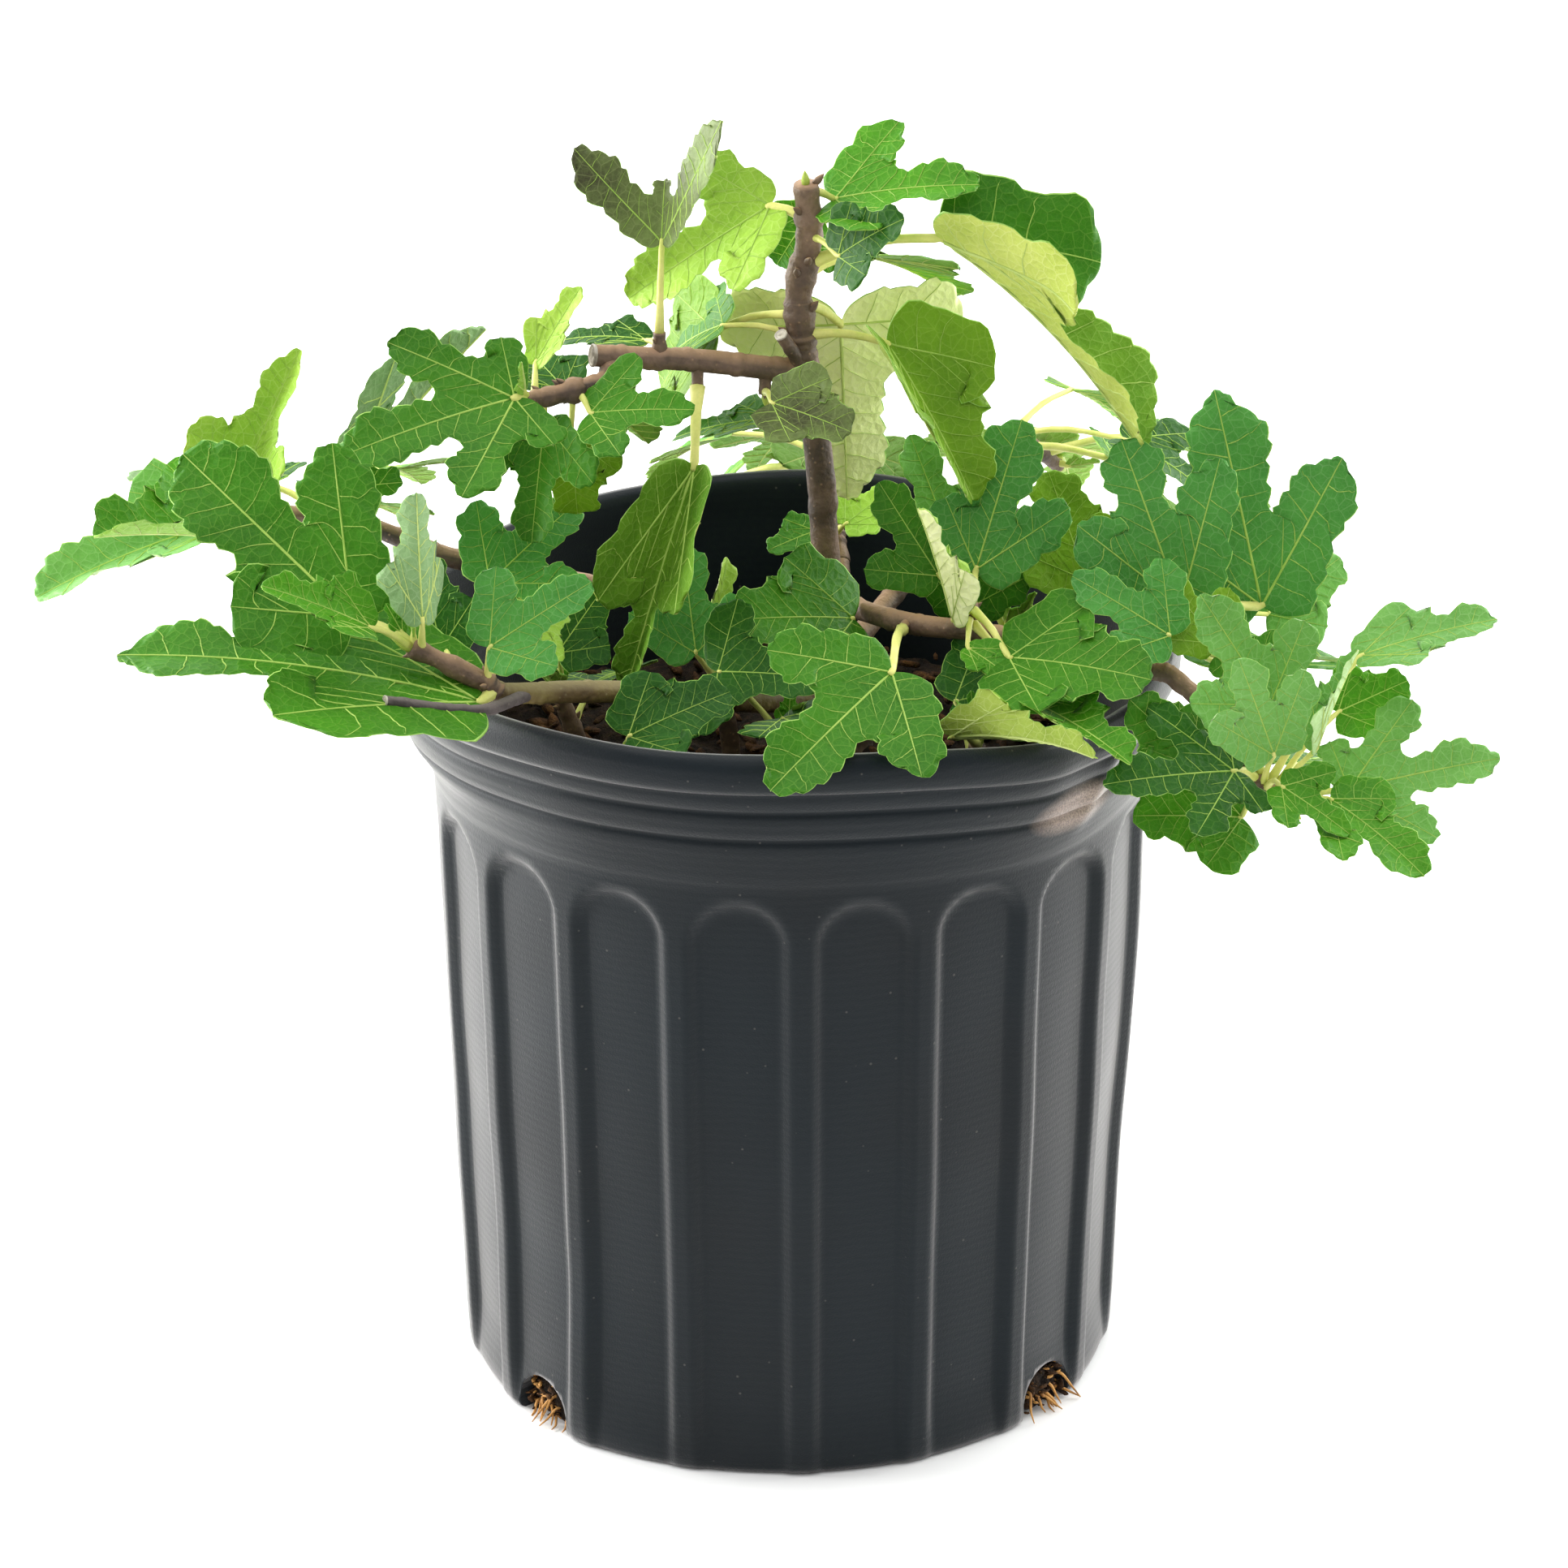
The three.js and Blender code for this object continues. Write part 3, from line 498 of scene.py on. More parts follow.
@cache
def net_group() -> NodeTree:
    """Group of a leaf's fine vein net: how near a place is to the edge between two cells.

    Two sizes of cell, each 1 at a cell's edge and 0 inside it, the small ones at 0.45 of the strength.

    Returns:
        The group, made once.
    """
    nodes, enter, leave = new_group("vein_net", {"Scale": 3.0}, ("Vein", "Pillow"))
    away, near = [], []
    for factor, reach in ((1.0, 0.075), (2.3, 0.1)):
        cells = nodes.add("ShaderNodeTexVoronoi", {
            "Vector": enter.outputs["Place"],
            "Scale": nodes.maths("MULTIPLY", enter.outputs["Scale"], factor)},
            feature="DISTANCE_TO_EDGE", voronoi_dimensions="2D")
        away.append(cells.outputs["Distance"])
        near.append(nodes.remap(away[-1], (0.0, reach), (1.0, 0.0), interpolation_type="SMOOTHSTEP"))
    nodes.feed(leave.inputs["Vein"], nodes.maths("MULTIPLY_ADD", near[1], 0.45, near[0], clamp=True))
    nodes.feed(leave.inputs["Pillow"], away[0])
    return nodes.tree


@cache
def specks_group() -> NodeTree:
    """Group of round specks: the strength up to the near reach from a cell's middle, 0 past the far one.

    Returns:
        The group, made once.
    """
    nodes, enter, leave = new_group(
        "round_specks", {"Scale": 400.0, "Near": 0.05, "Far": 0.2, "Strength": 0.5}, ("Mask",))
    scale, near, far, strength = (enter.outputs[i] for i in ("Scale", "Near", "Far", "Strength"))
    cells = nodes.add("ShaderNodeTexVoronoi", {"Vector": enter.outputs["Place"], "Scale": scale})
    nodes.feed(leave.inputs["Mask"], nodes.remap(cells.outputs["Distance"], (near, far), (strength, 0.0)))
    return nodes.tree


class Surface:
    """A material in the making: its shader, its coordinates and the soft mottle that it rests on."""

    def __init__(self, name: str, scale: float, fine: float) -> None:
        """Starts the material.

        Args:
            name: its name.
            scale: the mottle's slow scale.
            fine: the mottle's fine scale.
        """
        self.material = bpy.data.materials.new(name)
        self.material.use_nodes = True
        self.nodes = Nodes(self.material.node_tree)
        self.shader = self.material.node_tree.nodes["Principled BSDF"]
        place = self.nodes.add("ShaderNodeTexCoord")
        self.place, self.flat = place.outputs["Object"], place.outputs["UV"]
        mottle = self.nodes.group(mottle_group(), self.place, Scale=scale, Fine=fine)
        self.mottle, self.grain = mottle.outputs["Value"], mottle.outputs["Grain"]

    def shades(self, *stops: tuple[float, int]) -> Socket:
        """The mottle as colours, each given with the value that it stands at."""
        return self.nodes.ramp(self.mottle, [(value, linear(code)) for value, code in stops])

    def specks(self, base: Socket, colour: int, **values: float) -> tuple[Socket, Socket]:
        """The base with specks of a colour on it, and the specks' mask."""
        mask = self.nodes.group(specks_group(), self.place, **values).outputs["Mask"]
        return self.nodes.mix(mask, base, linear(colour)), mask

    def coat(self, colour: Socket, roughness: Feed, specular: float, **sheen: Feed) -> None:
        """Sets the shader.

        Args:
            colour: its base colour.
            roughness: its roughness.
            specular: its specular level.
            **sheen: its sheen's Weight, Roughness and Tint.
        """
        values = {"Base Color": colour, "Roughness": roughness, "Specular IOR Level": specular}
        values |= {f"Sheen {label}": value for label, value in sheen.items()}
        for label, value in values.items():
            self.nodes.feed(self.shader.inputs[label], value)

    def bump(self, height: Socket, depth: float) -> None:
        """Lays a relief over what the shader's normal reads already.

        Args:
            height: the relief's height, 0 to 1.
            depth: what a height of 1 is, in metres.
        """
        normal = self.shader.inputs["Normal"]
        feeds = {"Strength": 1.0, "Distance": depth, "Height": height}
        if normal.is_linked:
            feeds["Normal"] = normal.links[0].from_socket
        self.nodes.feed(normal, self.nodes.add("ShaderNodeBump", feeds).outputs["Normal"])


@dataclass(frozen=True)
class LeafFinish:
    """Finish of one face of a leaf: a plain green, a little lighter or darker, with the fine net."""

    name: str
    colour: int
    shade: int
    net: int
    roughness: float = 0.5
    down: float = 0.0
    relief: float = 0.00025
    net_scale: float = 3.2
    net_weight: float = 0.3

    def build(self) -> Material:
        """Makes the mottle between the two greens and the net's lines and relief.

        Returns:
            The material.
        """
        made = Surface(self.name, 45.0, 700.0)
        net = made.nodes.group(net_group(), made.flat, Scale=self.net_scale)
        weight = made.nodes.maths("MULTIPLY", net.outputs["Vein"], self.net_weight)
        base = made.shades((0.42, self.shade), (0.78, self.colour))
        made.coat(made.nodes.mix(weight, base, linear(self.net)), self.roughness, 0.16,
                  Weight=self.down, Roughness=0.5)
        made.bump(net.outputs["Pillow"], self.relief)
        made.bump(made.grain, self.relief * 0.6)
        return made.material


@dataclass(frozen=True)
class StemFinish:
    """Finish of a vein, petiole, bud or root: two near colours in slow patches, with a fine grain."""

    name: str
    colour: int
    shade: int
    roughness: float = 0.55
    scale: float = 120.0
    grain: float = 0.0001

    def build(self) -> Material:
        """Makes the mottle between the two colours and a fine relief.

        Returns:
            The material.
        """
        made = Surface(self.name, self.scale, 1500.0)
        made.coat(made.shades((0.4, self.shade), (0.8, self.colour)), self.roughness, 0.35)
        made.bump(made.grain, self.grain)
        return made.material


@dataclass(frozen=True)
class BarkFinish:
    """Finish of a woody limb: patchy bark with pale pores, and paler where it looks up, which is painted top
    light.
    """

    name: str
    light: int
    middle: int
    dark: int
    # The pale colour serves both the pores and the painted top light on the upper side.
    pore_and_top_light: int
    roughness: float = 0.62
    painted_top_light: float = 0.7
    top_light_from: float = 0.35

    def build(self) -> Material:
        """Makes patches of three browns, pores, a pale upper side that is painted top light, and a grainy,
        pored relief.

        Returns:
            The material.
        """
        made = Surface(self.name, 70.0, 650.0)
        base = made.shades((0.42, self.dark), (0.6, self.middle), (0.82, self.light))
        base, pores = made.specks(base, self.pore_and_top_light, Scale=420.0, Near=0.06, Far=0.2, Strength=0.4)
        # Painted top light: the pale pore colour laid over the bark where its normal looks up.
        way = made.nodes.add("ShaderNodeNewGeometry").outputs["Normal"]
        height = made.nodes.add("ShaderNodeSeparateXYZ", {0: way}).outputs["Z"]
        top_light_weight = made.nodes.remap(height, (self.top_light_from, 1.0), (0.0, self.painted_top_light))
        made.coat(made.nodes.mix(top_light_weight, base, linear(self.pore_and_top_light)), self.roughness, 0.4)
        made.bump(made.grain, 0.0004)
        made.bump(pores, 0.0002)
        return made.material


@dataclass(frozen=True)
class PlasticFinish:
    """Finish of the pot: satin charcoal plastic with fine grain, faint drawn bands, dust and a painted
    highlight.

    The painted highlight is a pale patch at the rim's crease; its middle and half sizes are in metres.
    """

    name: str
    colour: int
    shade: int
    dust: int
    roughness: float = 0.36
    # Colour, middle and half sizes of the painted highlight at the rim's crease.
    painted_highlight: int = 0xA08D82
    highlight_middle: Point = (0.0825, -0.0695, 0.1975)
    highlight_half: Point = (0.02, 0.02, 0.0075)
    sheen: tuple[float, float, float, float] = (1.0, 0.955, 0.94, 1.0)

    def build(self) -> Material:
        """Makes two charcoals' slow patches, dust specks, a painted highlight and a banded, grainy relief.

        Returns:
            The material.
        """
        made = Surface(self.name, 14.0, 1900.0)
        base = made.shades((0.45, self.shade), (0.75, self.colour))
        base, _ = made.specks(base, self.dust, Scale=150.0, Near=0.035, Far=0.07, Strength=0.5)
        # Painted highlight: a pale patch laid over the charcoal at the rim's crease.
        base = made.nodes.mix(self.painted_highlight_mask(made), base, linear(self.painted_highlight))
        rough = made.nodes.remap(made.mottle, (0.4, 0.8), (self.roughness - 0.05, self.roughness + 0.1))
        made.coat(base, rough, 0.16, Weight=0.5, Roughness=0.4, Tint=self.sheen)
        bands = made.nodes.add("ShaderNodeTexWave", {
            "Vector": made.place, "Scale": 130.0, "Distortion": 3.0, "Detail": 2.0}, bands_direction="Z")
        made.bump(bands.outputs["Fac"], 0.00002)
        made.bump(made.grain, 0.00008)
        return made.material

    def painted_highlight_mask(self, made: Surface) -> Socket:
        """Painted highlight at the rim's crease: pale inside an egg-shaped patch, more towards its middle,
        grainy.

        Args:
            made: the pot's material in the making.

        Returns:
            The patch's mask.
        """
        reach = made.place
        for operation, value in (("SUBTRACT", self.highlight_middle), ("DIVIDE", self.highlight_half)):
            feeds = {0: reach, 1: value}
            reach = made.nodes.add("ShaderNodeVectorMath", feeds, operation=operation).outputs[0]
        reach = made.nodes.add("ShaderNodeVectorMath", {0: reach}, operation="LENGTH").outputs["Value"]
        return made.nodes.maths("MULTIPLY", made.nodes.remap(reach, (1.0, 0.5), (0.0, 1.5)), made.grain)


@dataclass(frozen=True)
class CrumbFinish:
    """Finish of the potting mix and its bits: rough dark crumb in three colours."""

    name: str
    light: int
    middle: int
    dark: int
    scale: float = 260.0

    def build(self) -> Material:
        """Makes the mottle over three colours and a deep crumb relief.

        Returns:
            The material.
        """
        made = Surface(self.name, self.scale, 1600.0)
        made.coat(made.shades((0.42, self.dark), (0.62, self.middle), (0.85, self.light)), 0.92, 0.2)
        made.bump(made.mottle, 0.0012)
        made.bump(made.grain, 0.0004)
        return made.material


# ---------------- leaves
class Form(Enum):
    """Outlines of a blade, in parts of its length.

    Lobes are (turn from the midrib, reach, half width); notches are (turn, reach) and stand before,
    between and after the lobes.
    """

    FIVE = (((-100, 0.36, 0.12), (-44, 0.72, 0.14), (0, 1, 0.17), (44, 0.72, 0.14), (100, 0.36, 0.12)),
            ((-140, 0.16), (-76, 0.28), (-22, 0.42), (22, 0.42), (76, 0.28), (140, 0.16)))
    THREE = (((-52, 0.68, 0.18), (0, 1, 0.2), (52, 0.68, 0.18)),
             ((-116, 0.22), (-26, 0.46), (26, 0.46), (116, 0.22)))
    BROAD = (((-48, 0.62, 0.24), (0, 1, 0.25), (48, 0.62, 0.24)),
             ((-118, 0.28), (-25, 0.66), (25, 0.66), (118, 0.28)))
    NARROW = (((-32, 0.52, 0.16), (0, 1, 0.17), (32, 0.52, 0.16)),
              ((-105, 0.14), (-18, 0.6), (18, 0.6), (105, 0.14)))
    MITTEN = (((-40, 0.72, 0.17), (0, 1, 0.22), (40, 0.5, 0.2)),
              ((-112, 0.22), (-23, 0.42), (22, 0.52), (112, 0.24)))
    SPIRE = (((-40, 0.76, 0.16), (0, 1, 0.19), (40, 0.5, 0.18)),
             ((-112, 0.22), (-22, 0.42), (22, 0.5), (112, 0.24)))
    LOPSIDED = (((-32, 0.56, 0.19), (0, 1, 0.22), (34, 0.54, 0.2)),
                ((-100, 0.2), (-17, 0.5), (19, 0.46), (104, 0.26)))
    CROSS = (((-82, 0.62, 0.22), (0, 1, 0.22), (82, 0.62, 0.22)),
             ((-140, 0.2), (-38, 0.42), (38, 0.42), (140, 0.2)))
    FAN = (((-34, 0.86, 0.17), (0, 1, 0.18), (32, 0.76, 0.17)),
           ((-98, 0.24), (-17, 0.54), (15, 0.66), (98, 0.24)))
    WINGS = (((-43, 1.2, 0.2), (0, 0.46, 0.1), (48, 0.94, 0.17)),
             ((-96, 0.15), (-15, 0.36), (16, 0.36), (100, 0.16)))
    HAND = (((-64, 0.48, 0.15), (0, 1, 0.19), (46, 0.52, 0.16)),
            ((-125, 0.15), (-28, 0.36), (22, 0.4), (118, 0.15)))
    TAPER = (((-26, 0.68, 0.17), (0, 1, 0.13), (30, 0.64, 0.2)),
             ((-82, 0.2), (-11, 0.62), (12, 0.56), (88, 0.24)))
    ROUND = (((-42, 0.7, 0.25), (0, 1, 0.26), (42, 0.7, 0.25)),
             ((-112, 0.3), (-22, 0.76), (22, 0.76), (112, 0.3)))


class Tint(Enum):
    """Which green a leaf takes: its number among the finishes."""

    MID = 0
    # The deep green is the dark green of some leaves, and painted shade on leaves low inside the pot's rim.
    DEEP_AND_SHADED = 1
    BLUISH = 2
    FRESH = 3
    # The yellow tint is a yellow-green of some leaves, and painted backlight on leaves that glow with light
    # through them.
    YELLOW_AND_BACKLIT = 4
    OLIVE = 5
    STAINED = 6
    YOUNG = 7
    FOLDED = 8


@dataclass(frozen=True)
class Leaf:
    """One leaf: where it leaves the wood, its stalk, its blade and how the blade lies.

    Lengths are in millimetres and turns in degrees; face is the way the upper face looks, as a turn
    from +X and a rise above the level. The fold opens by a share of itself towards the tip; the
    lobes on the blade's left take the far tint where there is one.
    """

    place: float
    stalk: Point
    blade: Point
    face: Pair
    form: Form
    fold: float
    droop: float
    tint: Tint = Tint.MID
    opening: float = 0.0
    far_tint: Tint | None = None


def at_turn(turn: float, reach: float) -> Array:
    """A flat place at a turn and a reach from the joint."""
    return reach * np.array([math.cos(math.radians(turn)), math.sin(math.radians(turn))])


def even_run(corners: Array, count: int) -> Array:
    """Places evenly spaced by length on the smooth run through flat corners.

    Args:
        corners: flat places.
        count: how many places are wanted.

    Returns:
        The places.
    """
    line = np.concatenate([corners, np.zeros((len(corners), 2))], axis=1)
    dense = run_along(line, np.linspace(0, 1, 160))[0][:, :2]
    reach = way_along(dense)
    even = np.linspace(0, reach[-1], count)
    return np.stack([np.interp(even, reach, dense[:, i]) for i in (0, 1)], axis=1)


def sample(grid: Array, rows: Array, columns: Array) -> Array:
    """Values between a grid's points, each the two-way mean of its four neighbours.

    Args:
        grid: values by row and column.
        rows: row numbers with their fractions.
        columns: column numbers with their fractions.

    Returns:
        One value for each pair of numbers.
    """
    r = np.clip(np.floor(rows).astype(int), 0, grid.shape[0] - 2)
    c = np.clip(np.floor(columns).astype(int), 0, grid.shape[1] - 2)
    a, b = (rows - r)[..., None], (columns - c)[..., None]
    return ((grid[r, c] * (1 - a) + grid[r + 1, c] * a) * (1 - b)
            + (grid[r, c + 1] * (1 - a) + grid[r + 1, c + 1] * a) * b)


@dataclass(frozen=True)
class Lobe:
    """A lobe's flat grid: its places, each row's way along the axis and half widths, the web's rows."""

    flat: Array
    way: Array
    widths: Array
    web: int
    length: float


@dataclass(frozen=True)
class LeafMaker:
    """Makes a blade, its ribs and its stalk from a leaf's row.

    Each lobe is a grid of rows across it. The first rows run from seam to seam through the web about
    the joint; the later ones run from side to side of the free lobe and close at its rounded tip.
    The free side gives shares of the way from web to tip and of the half width there; past the share
    point_from it is narrower, by the blunt factor or by the sharp one.
    """

    share: tuple[float, ...] = (0.0, 0.22, 0.45, 0.67, 0.86, 0.975, 1.0)
    row_step: float = 1.35
    web_step: float = 2.6
    thick: float = 0.5
    tooth: float = 1.0
    crease_round: float = 2.2
    vein_angle: float = 48.0
    rib_height: float = 0.14
    rib_width: float = 1.25
    petiole_root: float = 1.55
    petiole_tip: float = 1.15
    petiole_arch: float = 0.14
    petiole_sink: float = 1.2
    free_side: tuple[Pair, ...] = (
        (0.3, 0.88), (0.52, 1.0), (0.71, 0.9), (0.86, 0.65), (0.965, 0.29))
    point_from: float = 0.8
    blunt: float = 0.9
    sharp: float = 0.6
    tooth_rows: tuple[float, ...] = (-0.6, 0.0, 0.45, 0.7)
    opens: Pair = (0.34, 0.62)
    rib_steps: int = 30
    rib_ends: Pair = (1.0, 0.24)
    rib_sink: float = 0.14
    vein_steps: int = 15
    vein_ends: Pair = (0.42, 0.16)

    def frame(self, row: Leaf) -> tuple[Array, Array, Array, float]:
        """The blade's own directions by the source's rule.

        The blade starts half its droop above its chord and ends as far below; its arc is the chord
        times the half droop over the sine of it.

        Args:
            row: the leaf's row.

        Returns:
            The start, the left side, the upper face and the arc's length.
        """
        reach = np.array(row.blade, float)
        chord, along = float(np.linalg.norm(reach)), unit(reach)
        up = direction(*row.face)
        up = unit(up - up.dot(along) * along)
        side = np.cross(up, along)
        half = math.radians(row.droop) / 2
        start = along * math.cos(half) + up * math.sin(half)
        top = up * math.cos(half) - along * math.sin(half)
        return start, side, top, chord * half / math.sin(half) if half > 0.001 else chord

    def bend(self, flat: Array, height: Array, row: Leaf, length: float) -> Array:
        """Bends flat places: the halves fold up about the midrib, then the midrib droops on an arc.

        The fold is rounded at the midrib: the way from it is taken as the root of its square and the
        rounding's square, less the rounding.

        Args:
            flat: places along and across the blade.
            height: how far each stands above the flat blade.
            row: the leaf's row.
            length: the arc's length.

        Returns:
            The places along, across and above the blade's start.
        """
        along, wide, droop = flat[..., 0], flat[..., 1], math.radians(row.droop)
        fold = math.radians(row.fold) * (1 - row.opening * smooth(along / length, *self.opens))
        far = np.sqrt(wide**2 + self.crease_round**2)
        across = wide * np.cos(fold) - wide / far * height * np.sin(fold)
        lift = ((far - self.crease_round) * np.sin(fold)
                + height * (1 - (1 - np.cos(fold)) * np.abs(wide) / far))
        if droop > 0.001:
            radius = length / droop
            turn = along / radius
            along, lift = (radius + lift) * np.sin(turn), (radius + lift) * np.cos(turn) - radius
        return np.stack([along, across, lift], axis=-1)

    def lobe(self, form: Form, k: int, length: float, web: int, seed: int) -> Lobe:
        """Lays out one lobe.

        A free side runs from the notch round the gap, out to the lobe's half width, and round to the
        tip; it rises over every fourth row into a tooth that leans to the tip. The middle column is
        the lobe's axis.

        Args:
            form: the blade's outline.
            k: the lobe's number in it.
            length: the arc's length.
            web: rows of the web.
            seed: picks the margin's waves.

        Returns:
            The lobe.
        """
        turn, reach, half = form.value[0][k]
        axis, square = at_turn(turn, 1), at_turn(turn + 90, 1)
        notches = [at_turn(*form.value[1][k + i]) for i in (0, 1)]
        level = [float(n @ axis) for n in notches]
        middle = max(0.12, sum(level) / 2) * 1.05
        last = len(form.value[0]) - 1
        draw = np.random.default_rng(seed * 31 + k)
        count = max(9, int((reach - middle) * length * 1.15 / self.row_step))
        share = np.array(self.share)
        free_way = np.sin(np.linspace(0, math.pi / 2, count + 1)) ** 0.9
        centre = np.concatenate([np.linspace(0, middle, web + 1)[:-1], middle + (reach - middle) * free_way])
        spine = centre[:, None] * axis
        pointed = form in (Form.TAPER, Form.SPIRE) and turn == 0
        tip = self.sharp if pointed else self.blunt
        free_side = [(middle + (reach - middle) * way, half * wide * (tip if way > self.point_from else 1.0))
                     for way, wide in self.free_side]
        sides, widths = [], []
        for i, (notch, sign) in enumerate(zip(notches, (-1, 1))):
            outer = (k == 0 and i == 0) or (k == last and i == 1)
            offset = float(notch @ square) * sign
            gap = min(0.035, 0.3 * offset)
            corners = np.array([[level[i], offset], [level[i] + gap * 1.1, max(offset - gap, 0.6 * half)],
                                *free_side, [reach, 0.0]])
            if outer:
                corners[1] = [max(level[i] + 0.05, 0.5 * (level[i] + corners[2, 0])),
                              0.5 * (offset + half * 0.9) * 1.06]
            edge = even_run(corners, count + 1)
            slope = unit(np.gradient(edge, axis=0))
            normal = np.stack([-slope[:, 1], slope[:, 0]], axis=1)
            steps = np.arange(count + 1)
            tooth = np.array(self.tooth_rows)[(steps + k) % len(self.tooth_rows)] * self.tooth
            big = 0.55 * np.sin(steps * self.row_step / draw.uniform(2.2, 3.2) + draw.uniform(0, 6))
            fade = smooth(steps / count, 0.02, 0.16) * (1 - smooth(steps / count, 0.93, 1.0))
            edge = edge + normal * ((tooth + big) * fade / length * min(1.0, length / 45))[:, None]
            free = edge[:, :1] * axis + sign * edge[:, 1:] * square
            seam = np.linspace(0, 1, web + 1)[:-1, None] * notch
            if outer:
                bulge = np.sin(np.linspace(0, math.pi, web + 1)[:-1]) * 0.03
                away = sign * at_turn(math.degrees(math.atan2(notch[1], notch[0])) + 90, 1)
                seam = seam + bulge[:, None] * away
            rim = np.concatenate([seam, free])
            widths.append(np.abs((rim - spine) @ square))
            part = share if sign > 0 else share[::-1]
            grid = spine[:, None] + part[None, :, None] * (rim - spine)[:, None]
            sides.append(grid if sign < 0 else grid[:, 1:])
        flat, widths = np.concatenate(sides, axis=1), np.stack(widths, axis=1)
        return Lobe(flat * length, centre * length, widths * length, web, length)

    def relief(self, lobe: Lobe, seed: int) -> Array:
        """How far the blade swells between its side veins and waves at its margin.

        The swell is the sine of the way past the last side vein, over their spacing; it fades at the
        seams. The margin's wave and the lobe's own shallow crease grow from the notch on.

        Args:
            lobe: the lobe.
            seed: picks the margin's wave.

        Returns:
            A height for each place of the lobe's grid.
        """
        way, count, web = lobe.way, len(self.share), lobe.web
        sign = np.concatenate([-np.ones(count - 1), np.ones(count)])
        part = self.parts()
        far = part[None] * np.where(sign < 0, lobe.widths[:, :1], lobe.widths[:, 1:])
        spacing = self.spacing(lobe.length)
        phase = (way[:, None] - far / math.tan(math.radians(self.vein_angle))) / spacing
        phase = phase + np.where(sign < 0, 0.0, 0.5)
        swell = (np.abs(np.sin(math.pi * phase)) ** 0.7 - 0.55) * 0.075 * spacing
        row = np.arange(len(way))
        free = smooth((row - web) / max(len(way) - web, 1), 0.0, 0.35)[:, None]
        swell = swell * np.minimum(1, part * 5)[None] * (1 - part[None] ** 6 * (1 - 0.5 * free))
        swell *= smooth(row, 0, 5)[:, None]
        wave = waves(np.stack(np.broadcast_arrays(way[:, None], sign[None] * 25.0), axis=-1), 19.0, seed, 5)
        return swell + free * (0.011 * lobe.length * wave * part[None] ** 2 + 0.1 * far)

    def parts(self) -> Array:
        """Shares of the half width across a lobe's whole grid, from side to side."""
        return np.array([*self.share[::-1], *self.share[1:]])

    def spacing(self, length: float) -> float:
        """How far apart the side veins leave a midrib."""
        return float(np.clip(length * 0.125, 4.2, 9.5))

    def ribs(self, shell: Shell, face: Array, lobe: Lobe, size: float, main: float, under: bool) -> None:
        """Adds a lobe's midrib and side veins as thin three-sided ridges on a face.

        A side vein leaves the midrib at its angle: at each share of the way to the margin it is where
        the way along less the way across over the angle's tangent equals its start.

        Args:
            shell: where they go.
            face: the lobe's upper or under face.
            lobe: the lobe.
            size: the ribs' width.
            main: factor on the midrib's width.
            under: whether the face looks down.
        """
        way, count = lobe.way, face.shape[1] // 2
        normal = unit(np.cross(np.gradient(face, axis=1), np.gradient(face, axis=0)))
        normal = normal if under else -normal
        rows = np.arange(len(way), dtype=float)
        spots, norms, broad = [], [], []
        steps = np.linspace(0, len(way) - 1.6, self.rib_steps)
        centre = np.full(self.rib_steps, float(count))
        self.ridge(shell, sample(face, steps, centre)[None], sample(normal, steps, centre)[None],
                   np.linspace(*self.rib_ends, self.rib_steps)[None] * main * size, under)
        spacing = self.spacing(lobe.length)
        parts = np.linspace(0.0, 0.94, self.vein_steps)
        for side, (sign, shift) in enumerate(((-1, 0.0), (1, -0.5))):
            starts = np.arange(1, int(way[-1] / spacing)) * spacing + shift * spacing
            starts = starts[(starts > spacing * 0.4) & (starts < way[-1] * 0.93)]
            if not len(starts):
                continue
            lines = []
            for part in parts:
                level = np.maximum.accumulate(
                    way - part * lobe.widths[:, side] / math.tan(math.radians(self.vein_angle)))
                lines.append(np.interp(starts, level + rows * 1e-6, rows))
            row = np.stack(lines, axis=1)
            column = np.interp(parts, self.share, np.arange(len(self.share)))[None].repeat(len(starts), 0)
            column = count + sign * column
            spots.append(sample(face, row, column))
            norms.append(sample(normal, row, column))
            broad.append(np.linspace(*self.vein_ends, self.vein_steps)[None].repeat(len(starts), 0) * size)
        if spots:
            self.ridge(shell, np.concatenate(spots), np.concatenate(norms), np.concatenate(broad), under)

    def ridge(self, shell: Shell, spots: Array, norms: Array, broad: Array, under: bool) -> None:
        """Adds ridges along rows of places: left foot, crest and right foot at each, closed at the ends.

        Args:
            shell: where they go.
            spots: places on the face, a row for each ridge.
            norms: the way out of the face at each place.
            broad: the ridge's width at each place.
            under: whether the face looks down, where ridges are higher.
        """
        norms = unit(norms)
        along = unit(np.gradient(spots, axis=1))
        side = np.cross(along, norms)
        height = (0.45 if under else 0.22) * broad + self.rib_height
        taper = np.ones(spots.shape[1])
        taper[0] = taper[-1] = 0.02
        broad, height = broad * taper, height * taper
        foot = spots - norms * self.rib_sink
        grid = np.stack([foot - side * broad[..., None] / 2, spots + norms * height[..., None],
                         foot + side * broad[..., None] / 2], axis=2)
        lines, points = spots.shape[:2]
        faces = grid_faces(points, 3, True)
        faces = (faces[None] + (np.arange(lines) * points * 3)[:, None, None]).reshape(-1, 4)
        shell.add(grid, faces[:, ::-1], 1 if under else 0)

